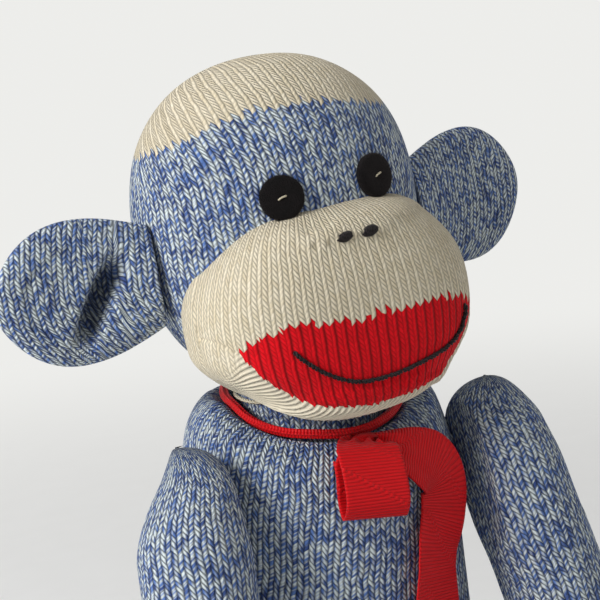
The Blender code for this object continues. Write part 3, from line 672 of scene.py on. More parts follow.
def floor_material():
    """A pale floor that fades into the background away from the doll."""
    made, tree, shader = new_material("studio_floor")
    place = object_place(tree)
    grain = cloud(tree, place, 40, 3.0)
    colour = blend_colours(tree, grain, (0.93, 0.93, 0.925), (0.95, 0.95, 0.945))
    finish_shader(tree, shader, colour, grain, 0.0001, 0.95, 0.0)
    x, y, _ = apart(tree, place)
    far = (x * x + y * y).power(0.5).ramp(0.25, 1.0)
    glow = tree.nodes.new("ShaderNodeEmission")
    glow.inputs["Color"].default_value = (*linear(BACKGROUND), 1)
    mix = tree.nodes.new("ShaderNodeMixShader")
    feed(tree, far * seen_by_eye(tree), mix.inputs[0])
    tree.links.new(shader.outputs[0], mix.inputs[1])
    tree.links.new(glow.outputs[0], mix.inputs[2])
    tree.links.new(mix.outputs[0], tree.nodes["Material Output"].inputs["Surface"])
    return made


def declare(piece, material, body, nodes=(), bend=None):
    """A piece's material, the body it rides, and the nodes it stands for. A piece given a bend is only baked where it
    stands and rides no body.
    """
    piece.data.materials.clear()
    piece.data.materials.append(material)
    if bend:
        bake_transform(piece)
    else:
        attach(piece, body)
    if nodes:
        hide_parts(*nodes)


MOTTLED = mottled_material("mottled_blue_knit")
MOTTLED_TIPPED = mottled_material("mottled_blue_and_cream_knit", zoned=True)
# The folded ear's knit, with painted shade in its crease.
MOTTLED_PAINTED_CREASE_SHADE = mottled_material("mottled_blue_knit_painted_crease_shade", painted_crease_shade=True)
MUZZLE_KNIT = muzzle_material()
FELT = felt_material()
BLACK_THREAD = thread_material("black_cotton_thread", (0.17, 0.14, 0.15), (0.03, 0.025, 0.03), 0.5)
CREAM_THREAD = thread_material("cream_cotton_thread", (0.93, 0.9, 0.82), (0.7, 0.65, 0.52))
GROSGRAIN = ribbon_material()


# Head

HEAD_WIDTH, HEAD_DEPTH, HEAD_BACK = 0.0966, 0.084, 0.004
HEAD_MIDDLE, HEAD_UP, HEAD_DOWN = 0.012, 0.05, 0.055
HEAD_UP_POWER, HEAD_DOWN_POWER = 2.2, 2.6
HEAD_COLUMNS, GATHER_TILT = 77, math.radians(45)
NECK_CLEAR = 0.0243
CROWN_SIDE_Z = EARS_Z + 0.038
CROWN_PIXELS = ((135, 156), (175, 144), (212, 126), (250, 109), (287, 100), (328, 97), (376, 102))


def head_grid(rows=132, cols=180):
    polar = np.linspace(0, math.pi, rows + 2)[1:-1][:, None]
    angle = np.linspace(0, TURN, cols, endpoint=False)[None, :]
    up = polar < math.pi / 2
    power = np.where(up, HEAD_UP_POWER, HEAD_DOWN_POWER)
    tall = np.where(up, HEAD_UP, HEAD_DOWN)
    out = np.sin(polar) ** (2 / power)
    rise = np.sign(np.cos(polar)) * np.abs(np.cos(polar)) ** (2 / power)
    x = HEAD_WIDTH / 2 * out * np.sin(angle)
    y = HEAD_BACK - HEAD_DEPTH / 2 * out * np.cos(angle)
    z = (EARS_Z + HEAD_MIDDLE + tall * rise) * np.ones_like(angle)
    grid = np.stack([x, y, z], axis=2)
    far = np.linalg.norm(grid, axis=2, keepdims=True)
    return np.where(far < NECK_CLEAR, grid * NECK_CLEAR / far, grid)


def crown_level(tree, angles):
    """Height of the cream crown's edge round the head, from the photograph in front and even behind."""
    known = []
    for x, y in CROWN_PIXELS:
        local = POSE.inverted() @ from_photo(tree, x, y)
        known.append((math.atan2(local.x, -(local.y - HEAD_BACK)), local.z))
    seen = np.array(sorted(known))
    angle = np.concatenate([[seen[0, 0] - 1.0], seen[:, 0], [seen[-1, 0] + 1.0]])
    level = np.concatenate([[CROWN_SIDE_Z], seen[:, 1], [CROWN_SIDE_Z]])
    around = (angles + math.pi) % TURN - math.pi
    return np.interp(around, angle, level)


def head_stitch(points):
    """The head's columns run up the face and over the crown to a gathered end high on its back."""
    local = points - np.array((0, HEAD_BACK, EARS_Z + HEAD_MIDDLE))
    tilt = GATHER_TILT * eased(local[..., 2] / HEAD_UP)
    y = local[..., 1] * np.cos(tilt) - local[..., 2] * np.sin(tilt)
    return np.arctan2(local[..., 0], -y) * HEAD_COLUMNS / TURN

def make_head():
    grid = head_grid()
    rows, cols = grid.shape[:2]
    angles = np.linspace(0, TURN, cols, endpoint=False)
    run = along(grid)
    middle = np.argmin(np.abs(grid[:, 0, 2] - EARS_Z - HEAD_MIDDLE))
    v = (run[middle] - run) / ROW
    trial = skin("head_trial", world(POSE, grid), np.zeros((rows, cols, 2)))
    level = crown_level(tree_of(trial), angles)
    bpy.data.objects.remove(trial)
    edge = np.array([np.interp(-level[j], -grid[:, j, 2], v[:, j]) for j in range(cols)])
    stitch = np.stack([head_stitch(grid), v], axis=2)
    top = np.array([0, HEAD_BACK, grid[0, 0, 2] + 0.00002])
    ends = [world(POSE, top), world(POSE, (0, 0, NECK_CLEAR))]
    tips = ((float(head_stitch(top)), float(v[0, 0] + 1)), (0.0, float(v[-1, 0] - 1)))
    zones = {"cream": v - edge[None, :]}
    head = skin("head_skin", world(POSE, grid), stitch, ends, zones, period=HEAD_COLUMNS, tips=tips)
    swell(head, "head")
    soften(head, 0.02, 0.0006, 3.0)
    declare(head, MOTTLED_TIPPED, "head", ("head",))
    return head


# Muzzle and face

MUZZLE_HALF, MUZZLE_TALL, MUZZLE_REACH = 0.0925 / 2, 0.072 / 2, 0.0325
MUZZLE_MIDDLE = np.array((0, -0.0215, EARS_Z - 0.0192))
OUTLINE_POWER, DOME_POWER = 2.3, 2.8
THROAT = 0.041
MUZZLE_AXIS, MUZZLE_COLUMN = -0.012, 0.0036
CORNER, CORNER_Z = 0.2, 0.0405
HEM_PITCH = 2.05

# A dense slice's points, its start before the top, its points in front and where its back starts. Then the
# skin's rows before and behind the throat, its columns, and the rows that the lips and the hem can lie in
SLICE_POINTS, SLICE_START, SLICE_FRONT, SLICE_BACK = 900, 0.3, slice(60, 400), 200
FRONT_ROWS, BACK_ROWS, MUZZLE_COLS = 200, 70, 240
LIP_ROWS, HEM_ROWS = slice(20, 200), slice(20, 220)

# Lines drawn over the muzzle, as metres across it and above the neck's hinge
LIP_TOP = ((-0.0423, 0.0257), (-0.0365, 0.0292), (-0.0309, 0.0306), (-0.0252, 0.0308), (-0.0104, 0.0290),
           (0.0005, 0.0288), (0.0172, 0.0283), (0.0300, 0.0268), (0.0375, 0.0245), (0.0430, 0.0205))
LIP_BOTTOM = ((-0.0463, 0.0285), (-0.0443, 0.0268), (-0.0423, 0.0245), (-0.0386, 0.0180), (-0.0342, 0.0130),
              (-0.0280, 0.0080), (-0.0205, 0.0042), (-0.0104, 0.0015), (0.0012, -0.0005), (0.0152, -0.0012),
              (0.0245, 0.0012), (0.0325, 0.0062), (0.0385, 0.0125), (0.0430, 0.0200), (0.0463, 0.0160))
SMILE = ((-0.0281, 0.0233), (-0.0256, 0.0200), (-0.0184, 0.0138), (-0.0090, 0.0091), (0.0031, 0.0081),
         (0.0151, 0.0093), (0.0256, 0.0111), (0.0315, 0.0140), (0.0344, 0.0178), (0.0358, 0.0222))


def muzzle_surface(across, turn):
    """Points of the muzzle's form: slices across it, each turned from its top over the front to its back."""
    low = np.zeros(np.broadcast(across, turn).shape)
    high = low + 1.2
    for _ in range(40):
        mid = (low + high) / 2
        z, y = np.abs(mid * np.cos(turn)), np.abs(mid * np.sin(turn))
        outline = np.abs(across) ** OUTLINE_POWER + z ** OUTLINE_POWER
        size = outline ** (DOME_POWER / OUTLINE_POWER) + y ** DOME_POWER
        low, high = np.where(size < 1, mid, low), np.where(size < 1, high, mid)
    x = across * np.ones_like(low)
    rise = low * np.cos(turn)
    x = x * (1 - CORNER * eased((-rise - 0.2) / 0.6) * (x < 0))
    form = np.stack([x * MUZZLE_HALF, -low * np.sin(turn) * MUZZLE_REACH, rise * MUZZLE_TALL], axis=2)
    return form + MUZZLE_MIDDLE


def hollowed(points):
    """A slice of the muzzle with the round hollow that clears the neck, and the point where it starts."""
    far = np.linalg.norm(points, axis=1)
    inside = np.nonzero((far < THROAT) & (np.arange(len(far)) > SLICE_BACK))[0]
    if len(inside) < 3:
        return points, None
    first, last = inside[0], inside[-1]
    part, count = slice(first, last + 1), last - first + 1
    points[part, 0] = np.linspace(points[first, 0], points[last, 0], count)
    radius = np.sqrt(np.maximum(THROAT ** 2 - points[part, 0] ** 2, 0))
    start, end = (math.atan2(points[k, 2], -points[k, 1]) for k in (first, last))
    turn = np.linspace(start, end, count)
    points[part, 1] = -radius * np.cos(turn)
    points[part, 2] = radius * np.sin(turn)
    return points, first


def muzzle_grid():
    """The muzzle's skin, its places in columns and rows of stitches, and the row where the throat starts."""
    fine = np.linspace(-1, 1, 2001)
    dome = np.stack([fine * MUZZLE_HALF, (1 - np.abs(fine) ** DOME_POWER) ** (1 / DOME_POWER) * MUZZLE_REACH], axis=1)
    run = along(dome)
    across = np.interp(np.linspace(0, 1, MUZZLE_COLS) * run[-1], run, fine)
    turn = np.linspace(-SLICE_START, TURN - SLICE_START, SLICE_POINTS)
    dense = muzzle_surface(across[None, :], turn[:, None])
    under = int(np.argmin(np.abs(turn - math.pi - SLICE_START)))
    sliced = [hollowed(dense[:, j].copy()) for j in range(MUZZLE_COLS)]
    entries = evened(np.array([under if first is None else first for _, first in sliced], float), 25)
    grid = np.zeros((FRONT_ROWS + BACK_ROWS, MUZZLE_COLS, 3))
    v, brim = np.zeros(grid.shape[:2]), np.zeros(MUZZLE_COLS)
    for j, (points, _) in enumerate(sliced):
        length = along(points)
        entry = np.interp(entries[j], np.arange(len(length)), length)
        behind = np.linspace(entry, length[-1], BACK_ROWS + 1)[1:]
        want = np.concatenate([np.linspace(0, entry, FRONT_ROWS), behind])
        for axis in range(3):
            grid[:, j, axis] = np.interp(want, length, points[:, axis])
        level = np.interp(-MUZZLE_MIDDLE[2], -points[SLICE_FRONT, 2], length[SLICE_FRONT])
        v[:, j] = (level - want) / ROW
        brim[j] = (level - entry) / ROW
    front_line = dome * (1, -1) + (0, MUZZLE_MIDDLE[1])
    bearing = np.arctan2(front_line[:, 0], MUZZLE_AXIS - front_line[:, 1])
    seen = np.arctan2(grid[:, :, 0], MUZZLE_AXIS - grid[:, :, 1])
    u = np.interp(seen, bearing, (run - run[-1] / 2) / MUZZLE_COLUMN)
    u += (seen - np.clip(seen, bearing[0], bearing[-1])) * MUZZLE_HALF / MUZZLE_COLUMN
    return grid, u, v, brim


def edge_rows(line, grid, v, missing):
    """Row of stitches at which each column of the muzzle passes below a line drawn over it."""
    seen = smooth_line(line, 200)
    grid, v = grid[LIP_ROWS], v[LIP_ROWS]
    found = []
    for j in range(grid.shape[1]):
        above = grid[:, j, 2] - np.interp(grid[:, j, 0], seen[:, 0], seen[:, 1])
        under = np.nonzero(above < 0)[0]
        if above[0] < 0 or not len(under):
            found.append(missing[j])
            continue
        k = under[0]
        share = above[k - 1] / (above[k - 1] - above[k])
        found.append(v[k - 1, j] * (1 - share) + v[k, j] * share)
    return np.array(found)


def hem_turns(grid, v, bottom, hem_run):
    """Cords that slant across the hem, counted along it."""
    grid, v = grid[HEM_ROWS], v[HEM_ROWS]

    def at_rows(level):
        return np.array([[np.interp(-level[j], -v[:, j], grid[:, j, axis]) for axis in range(3)]
                         for j in range(grid.shape[1])])

    edge = at_rows(bottom)
    way, down = unit(np.gradient(edge, axis=0)), unit(at_rows(bottom - 1) - edge)
    lean = np.clip(np.sum(way * down, axis=1), -1, 1)
    slant = evened(np.sqrt(1 - lean * lean) * 0.5 + lean, 25)
    return (along(edge)[None, :] / MM + hem_run * slant[None, :]) / HEM_PITCH


def hem_lift(hem_run, wide, cord):
    """How far the muzzle stands out along its rows: a groove under the lips, then the hem's corded band."""
    band = np.sin(math.pi * np.clip(hem_run / wide, 0, 1)) ** 0.7
    lift = -0.0005 + band * (0.0007 + 0.00028 * cord) - 0.0004 * np.exp(-(hem_run / 0.6) ** 2)
    count = np.arange(len(hem_run))
    fade = np.clip(np.minimum((FRONT_ROWS - count) / 6, count / 6), 0, 1)[:, None]
    return lift * fade


def muzzle_normals(grid):
    """The way out of the muzzle's skin at each of its points."""
    normal = unit(np.cross(np.gradient(grid, axis=1), np.gradient(grid, axis=0)))
    row, column = FRONT_ROWS // 4, MUZZLE_COLS // 2
    if np.sum(normal[row, column] * (grid[row, column] - MUZZLE_MIDDLE)) < 0:
        normal = -normal
    normal[:, 0], normal[:, -1] = (-1, 0, 0), (1, 0, 0)
    return normal


def make_muzzle():
    grid, u, v, brim = muzzle_grid()
    xs, ends = grid[0, :, 0], np.abs(grid[:, :, 0])
    top, bottom = edge_rows(LIP_TOP, grid, v, brim), edge_rows(LIP_BOTTOM, grid, v, brim)
    top = np.where((xs < LIP_TOP[0][0]) | (xs > LIP_TOP[-1][0]), bottom - 3, top)
    hem_run = (bottom[None, :] - v) * ROW / MM
    wide = np.maximum((bottom - brim) * ROW / MM, 1.0)[None, :]
    turns = hem_turns(grid, v, bottom, hem_run)
    corded = 1 - eased((ends - CORNER_Z) / 0.004)
    lift = hem_lift(hem_run, wide, np.sin(turns * TURN) * corded)
    shape = grid + muzzle_normals(grid) * lift[:, :, None]
    end = eased((ends - 0.028) / 0.014)
    rise = v * (1 - end) + (grid[:, :, 2] - MUZZLE_MIDDLE[2]) / ROW * end
    zones = {"under_top": top[None, :] - v, "over_bottom": v - bottom[None, :],
             "hem": (hem_run < wide + 10) * corded, "hem_turns": turns}
    muzzle = skin("muzzle_skin", world(POSE, shape), np.stack([u, rise], axis=2), zones=zones, wrap=False)
    swell(muzzle, "muzzle")
    declare(muzzle, MUZZLE_KNIT, "head", ("muzzle",))
    return muzzle


EYE_RADIUS, EYE_THICK = 0.0139 / 2, 0.0026
EYE_X, EYE_Z = 0.0164, EARS_Z + 0.0202
EYE_OUTLINE = ((0.35, 0.99), (0.7, 0.97), (0.88, 0.9), (0.97, 0.74), (1.0, 0.5), (0.985, 0.1), (0.96, -0.8))
EYE_COLS, EYE_COLUMNS = 72, 40
EYE_STITCH = ((-0.75, -0.3), (-0.4, -0.05), (0, 0.12), (0.4, 0.22), (0.75, 0.3))
EYE_STITCH_HALF = 0.0019
FIBRES, FIBRE_HALF, FIBRE_SEEDS = 2600, 0.000028, {"left": 5, "right": 9}


def from_front(tree, x, z):
    """The point and normal of the face's surface at a place across it and above the neck's hinge."""
    return hit(tree, POSE @ Vector((x, -0.2, z)), POSE.to_3x3() @ Vector((0, 1, 0)))


def make_eye(side, sign, head_tree):
    """A felt disc with its loose fibres, and the stitch through it."""
    x = sign * EYE_X
    place, normal = from_front(head_tree, x, EYE_Z)
    turn = normal.to_track_quat("Z", "Y").to_matrix()

    def on_eye(x, y, z):
        return tuple(place + turn @ Vector((x, y, z)))

    grid = []
    for radius, high in EYE_OUTLINE:
        ring = []
        dent = 1 - 0.16 * math.exp(-(radius / 0.28) ** 2)
        for a in TURN * np.arange(EYE_COLS) / EYE_COLS:
            rough = 1 + 0.012 * noise.noise(Vector((3 * math.cos(a), 3 * math.sin(a), x * 900)))
            out = EYE_RADIUS * radius * rough
            ring.append(on_eye(out * math.cos(a), out * math.sin(a), EYE_THICK * high * dent))
        grid.append(ring)
    stitch = ring_stitch(EYE_COLUMNS, EYE_COLS, np.arange(len(grid))[:, None])
    middle = on_eye(0, 0, EYE_THICK * 0.84)
    eye = skin(f"eye_{side}_felt", np.array(grid), stitch, (middle, None), period=EYE_COLUMNS)
    declare(eye, FELT, "head", (f"eye_{side}",))
    make_fibres(side, on_eye)
    line = [on_eye(EYE_STITCH_HALF * a, EYE_STITCH_HALF * b, EYE_THICK * 0.88 + 0.0004 * (1 - a * a))
            for a, b in EYE_STITCH]
    thread = thread_tubes(f"eye_stitch_{side}_thread", twisted(line, 0.00032, 0.0014, start=1.0))
    declare(thread, CREAM_THREAD, "head", (f"eye_stitch_{side}",))


def make_fibres(side, on_eye):
    """Loose fibres on the felt, more than half of them round its rim."""
    rng = np.random.default_rng(FIBRE_SEEDS[side])
    verts, faces, corners = [], [], []
    for _ in range(FIBRES):
        a = rng.uniform(0, TURN)
        rim = rng.uniform() < 0.6
        radius = EYE_RADIUS * (rng.uniform(0.93, 1.0) if rim else math.sqrt(rng.uniform(0, 0.9)))
        high = EYE_THICK * (rng.uniform(0.15, 0.85) if rim else rng.uniform(0.84, 0.97))
        root = Vector((radius * math.cos(a), radius * math.sin(a), high))
        b = a + rng.uniform(-1.3, 1.3)
        lift = rng.uniform(-0.1, 0.7) if rim else rng.uniform(0.02, 0.35)
        way = Vector((math.cos(b), math.sin(b), lift)).normalized()
        long = rng.uniform(0.00035, 0.001) if rim else rng.uniform(0.0003, 0.0008)
        aside = way.cross(Vector((0, 0, 1))).normalized() * FIBRE_HALF
        tip = root + way * long + Vector((0, 0, rng.uniform(-0.0001, 0.0001)))
        base = len(verts)
        verts += [on_eye(*point) for point in (root - aside, root + aside, tip)]
        faces.append((base, base + 1, base + 2))
        corners += [(0, 0), (1, 0), (0.5, 1)]
    fuzz = make(f"eye_{side}_fibres", verts, faces, corners, smooth=False)
    declare(fuzz, FELT, "head")


NOSTRIL_X, NOSTRIL_Z = 0.0043, EARS_Z + 0.0062
NOSTRIL_STITCHES, NOSTRIL_SEEDS = 9, {"left": 21, "right": 22}
NOSTRIL_HALF_WIDE, NOSTRIL_HALF_HIGH, NOSTRIL_OUT = 0.0024, 0.0017, 0.0011


def make_nostril(side, sign, tree):
    """Upright satin stitches side by side over an oval."""
    place, normal = from_front(tree, sign * NOSTRIL_X, NOSTRIL_Z)
    turn = normal.to_track_quat("Z", "Y").to_matrix()
    rng = np.random.default_rng(NOSTRIL_SEEDS[side])
    level = turn @ Vector((1, 0, 0))
    if abs(level.z) > 0.5:
        level = turn @ Vector((0, 1, 0))
    rise = normal.cross(level)
    strands = []
    for across in np.linspace(-1, 1, NOSTRIL_STITCHES):
        half = NOSTRIL_HALF_HIGH * math.sqrt(max(1 - (across * 0.86) ** 2, 0.05)) * rng.uniform(0.94, 1.04)
        round_out = NOSTRIL_OUT * math.sqrt(max(1 - (across * 0.8) ** 2, 0))
        line = []
        for t in np.linspace(-1, 1, 9):
            bulge = round_out * math.sqrt(max(1 - t * t, 0)) - 0.0002
            aside = across * NOSTRIL_HALF_WIDE + t * 0.00025
            line.append(tuple(place + level * aside + rise * (t * half) + normal * bulge))
        strands.append((np.array(line), np.full(len(line), 0.00036)))
    piece = thread_tubes(f"nostril_{side}_satin_stitch", strands)
    declare(piece, BLACK_THREAD, "head", (f"nostril_{side}",))


SMILE_POINTS, SMILE_STITCHES = 260, 15


def make_smile(tree):
    """Back stitches of a two-ply thread, each dipping into the knit at its ends."""
    found = [from_front(tree, x, z) for x, z in smooth_line(SMILE, 60)]
    line = smooth_line([tuple(place) for place, _ in found], SMILE_POINTS)
    facing = smooth_line([tuple(normal) for _, normal in found], SMILE_POINTS)
    strands = []
    last = SMILE_POINTS - 1
    for k in range(SMILE_STITCHES):
        start, end = k * last / SMILE_STITCHES, min((k + 1.12) * last / SMILE_STITCHES, last)
        part = slice(int(start), int(end) + 1, 3)
        lift = 0.0006 * np.sin(np.linspace(0, math.pi, len(line[part]))) ** 0.5 + 0.0002
        raised = line[part] + facing[part] * lift[:, None]
        strands += twisted(raised, 0.00075, 0.0026, start=k * 0.7)
    smile = thread_tubes("smile_back_stitch", strands)
    declare(smile, BLACK_THREAD, "head", ("smile_stitch",))


# Ears

EAR_LENGTH, EAR_HEIGHT, EAR_THICK = 0.052, 0.047, 0.013
EAR_COLUMN, EAR_ROW = 0.0033, 0.00155
EAR_HEIGHTS = (0.7, 0.82, 0.92, 0.98, 1.0, 0.97, 0.88, 0.72)
EAR_HOLLOW, EAR_SWEEP = 0.0046, math.radians(12)
EAR_HINGES = {"left": Vector((0.044773, -0.0238, 0.221826)), "right": Vector((-0.050511, -0.0238, 0.215998))}

# The fold in the doll's right ear, from its upper end to its lower one, as metres from the hinge
FOLD_DEPTH, FOLD_HALF = 0.0110, 0.0036
FOLD_TOP, FOLD_END = np.array((0.0122, 0.0069)), np.array((0.0260, -0.0148))
FOLD_LONG = float(np.linalg.norm(FOLD_END - FOLD_TOP))
FOLD_WAY = (FOLD_END - FOLD_TOP) / FOLD_LONG


def fold_depth(out, heights):
    """Depth of the fold at one distance from the head and the given heights."""
    from_top = np.stack([np.full(len(heights), out) - FOLD_TOP[0], heights - FOLD_TOP[1]], axis=1)
    lengthwise, aside = from_top @ FOLD_WAY, from_top @ (-FOLD_WAY[1], FOLD_WAY[0])
    reach = np.exp(-((lengthwise - FOLD_LONG / 2) / (FOLD_LONG * 0.5)) ** 4)
    return FOLD_DEPTH * np.exp(-(aside / FOLD_HALF) ** 4) * reach


def make_ear(side, sign):
    outward = np.array((sign * math.cos(EAR_SWEEP), math.sin(EAR_SWEEP), 0))
    ahead = np.array((sign * math.sin(EAR_SWEEP), -math.cos(EAR_SWEEP), 0))
    rows, cols = 90, 132
    angle = np.linspace(0, TURN, cols, endpoint=False) - math.pi / 2
    up, front = np.cos(angle), np.sin(angle)
    facing = np.maximum(front, 0)
    rings, dents = [], []
    for row in range(rows + 1):
        out = EAR_LENGTH * math.sin(row / rows * math.pi / 2) * 0.998
        run = out / EAR_LENGTH
        round_end = math.sqrt(max(1 - run ** 5, 0.001))
        tall = EAR_HEIGHT / 2 * table(np.linspace(0, 1, len(EAR_HEIGHTS)), EAR_HEIGHTS, run) * round_end
        thick = EAR_THICK / 2 * (0.85 + 0.15 * math.sin(math.pi * run)) * round_end
        hollow = EAR_HOLLOW * facing * math.sin(math.pi * run) ** 1.3 * (1 - up * up)
        fold = fold_depth(out, tall * up) * facing ** 0.5 * min(run / 0.15, 1) * (sign < 0)
        depth = thick * front - hollow - fold
        depth = np.where(front > 0, np.maximum(depth, -0.75 * thick * front), depth)
        # The fold's depth share, which the ear's material turns into painted shade in the crease.
        dents.append(fold / FOLD_DEPTH)
        rings.append(outward * out + np.outer(tall * up, (0, 0, 1)) + np.outer(depth, ahead))
    grid = np.array(rings)
    perimeter = np.linalg.norm(np.roll(grid, -1, axis=1) - grid, axis=2)
    around = np.cumsum(perimeter, axis=1) - perimeter
    around -= around[:, cols // 2][:, None]
    high = grid[:, :, 2] / (EAR_HEIGHT / 2)
    bend = 0.011 * np.clip(-high, 0, 1) ** 2 + 0.004 * np.clip(high, 0, 1) ** 2
    stitch = np.stack([(along(grid[:, 0, :])[:, None] + bend) / EAR_COLUMN, around / EAR_ROW], axis=2)
    place = Matrix.Translation(EAR_HINGES[side]) @ LEAN
    ends = (world(place, (0, 0, 0)), world(place, outward * EAR_LENGTH))
    ear = skin(f"ear_{side}_skin", world(place, grid), stitch, ends, {"dent": dents})
    swell(ear, f"ear_{side}", 0.0004, 0.004)
    declare(ear, MOTTLED_PAINTED_CREASE_SHADE, f"ear_{side}", (f"ear_{side}",))


# Torso and neck

TORSO_HALF, TORSO_DEEP, SHOULDER_Z = 0.096 / 2, 0.078 / 2, 0.1725
HEIGHTS = (0.0, 0.03, 0.1, 0.22, 0.4, 0.6, 0.76, 0.86, 0.925, 0.965, 0.992, 1.0, 0.985, 0.96)
RADII = (0.7, 0.83, 0.94, 0.99, 1.0, 0.99, 0.975, 0.97, 0.94, 0.885, 0.8, 0.71, 0.63, 0.56)
TORSO_LEAN = 0.06
LAP_RADIUS, LAP_Y, LAP_Z, LAP_RAISE = 0.0243, -0.012, 0.0235, math.radians(15)


def side_flat(z):
    return TORSO_HALF - 0.0035 * eased((z - 0.146 + 0.068) / 0.0185)


def make_torso():
    profile = smooth_line(list(zip(HEIGHTS, RADII)), 120)
    cols = 160
    angle = np.linspace(0, TURN, cols, endpoint=False)
    rings = []
    for height, radius in profile:
        back = 0.006 * (1 - eased(height / 0.45))
        drop = 0.015 * eased((height - 0.68) / 0.32)
        z = SHOULDER_Z * height - drop * np.maximum(np.cos(angle), 0)
        x = np.clip(TORSO_HALF * radius * np.sin(angle), -side_flat(z), side_flat(z))
        y = back - TORSO_DEEP * radius * np.cos(angle)
        rings.append(np.stack([x, y, z], axis=1))
    grid = np.array(rings)
    from_top = along(grid[::-1])[::-1]
    rows = grid.shape[0]
    for j in range(cols):
        for i in range(rows):
            x, y, z = grid[i, j]
            if y < LAP_Y + LAP_RADIUS:
                roof = LAP_Z + (LAP_RADIUS + (LAP_Y - y) * math.sin(LAP_RAISE)) / math.cos(LAP_RAISE)
                if y > LAP_Y - LAP_RADIUS * math.sin(LAP_RAISE):
                    roof = LAP_Z + math.sqrt(max(LAP_RADIUS ** 2 - (y - LAP_Y) ** 2, 0))
                if z < roof:
                    grid[i, j, 2] = roof
                    if z < 0.012:
                        share = 1 - z / 0.012
                        grid[i, j, 1] = y + (LAP_Y + LAP_RADIUS - y) * eased(share)
                        y = grid[i, j, 1]
                        roof = LAP_Z + math.sqrt(max(LAP_RADIUS ** 2 - min(abs(y - LAP_Y), LAP_RADIUS) ** 2, 0))
                        grid[i, j, 2] = min(roof, max(z, roof * (1 - share) + z * share))
    neck = np.array((0, 0, 0.172))
    flat = np.hypot(grid[:, :, 0], grid[:, :, 1])
    near = np.sqrt(np.maximum(0.0244 ** 2 - (grid[:, :, 2] - neck[2]) ** 2, 0))
    clear = np.where(grid[:, :, 2] > 0.172 - 0.0064, 0.0264, near)
    push = (flat < clear) & (grid[:, :, 2] > 0.14)
    for axis in (0, 1):
        grid[:, :, axis] = np.where(push, grid[:, :, axis] * clear / np.maximum(flat, 1e-6), grid[:, :, axis])
    columns = round(0.275 / COLUMN)
    stitch = ring_stitch(columns, cols, from_top / ROW)
    stitch[:, :, 0] += stitch[:, :, 1] * TORSO_LEAN
    grid = world(Matrix.Translation(DOLL), grid)
    grid[:, :, 2] = np.maximum(grid[:, :, 2], 0)
    torso = skin("torso_skin", grid, stitch, ((0, DOLL.y + 0.024, 0.0), tuple(grid[-1].mean(axis=0) - np.array((0, 0, 0.012)))),
                 period=columns)
    swell(torso, "torso")
    soften(torso, 0.024, 0.0007, 5.0)
    keep_above(torso, 0)
    declare(torso, MOTTLED, "torso", ("torso",))
    return torso


def make_neck():
    rows, cols = 40, 96
    radius = 0.024
    polar = np.radians(110) * np.linspace(0.02, 1, rows)
    outline = [(radius * math.sin(p), radius * math.cos(p)) for p in polar]
    outline += [(outline[-1][0], outline[-1][1] - 0.014 * t) for t in (0.33, 0.66, 1.0)]
    angle = np.linspace(0, TURN, cols, endpoint=False)
    grid = np.array([np.stack([r * np.sin(angle), -r * np.cos(angle), np.full(cols, z)], axis=1) for r, z in outline])
    stitch = ring_stitch(41, cols, along(grid)[:, :1] / -ROW)
    grid = world(Matrix.Translation(NECK), grid)
    neck = skin("neck_skin", grid, stitch, (tuple(NECK + Vector((0, 0, radius))), tuple(NECK + Vector((0, 0, outline[-1][1])))), period=41)
    declare(neck, MOTTLED, "neck", ("neck",))
    ring = []
    for k in range(121):
        a = TURN * k / 120
        ring.append(tuple(POSE @ Vector((0.0251 * math.cos(a), 0.0251 * math.sin(a), 0.0001 * math.sin(9 * a)))))
    thread = thread_tubes("neck_seam_thread", twisted(ring, 0.0007, 0.003, count=360))
    declare(thread, CREAM_THREAD, "neck_thread", ("neck_thread",))


# Limbs and tail

def limb_radii(line, sizes, places):
    run = along(line)
    radii = table(places, sizes, run)
    left = np.clip(run / sizes[0], 0, 1)
    right = np.clip((run[-1] - run) / sizes[-1], 0, 1)
    return radii * np.sqrt(left * (2 - left)) * np.sqrt(right * (2 - right))


def limb_skin(name, line, radii, columns, cream_from, wide=None, cols=96):
    """A tube of knit along a line, with its stitch map running along it and over its round ends."""
    grid = tube_grid(line, radii, cols, wide)
    grid = grid[1:-1]
    run = along(np.array(line))[1:-1]
    skin_run = along(grid).mean(axis=1) + radii[1]
    stitch = ring_stitch(columns, cols, -(skin_run / ROW)[:, None])
    cream = ((run - cream_from) / ROW)[:, None] * np.ones((1, cols))
    return grid, stitch, {"cream": cream}, columns


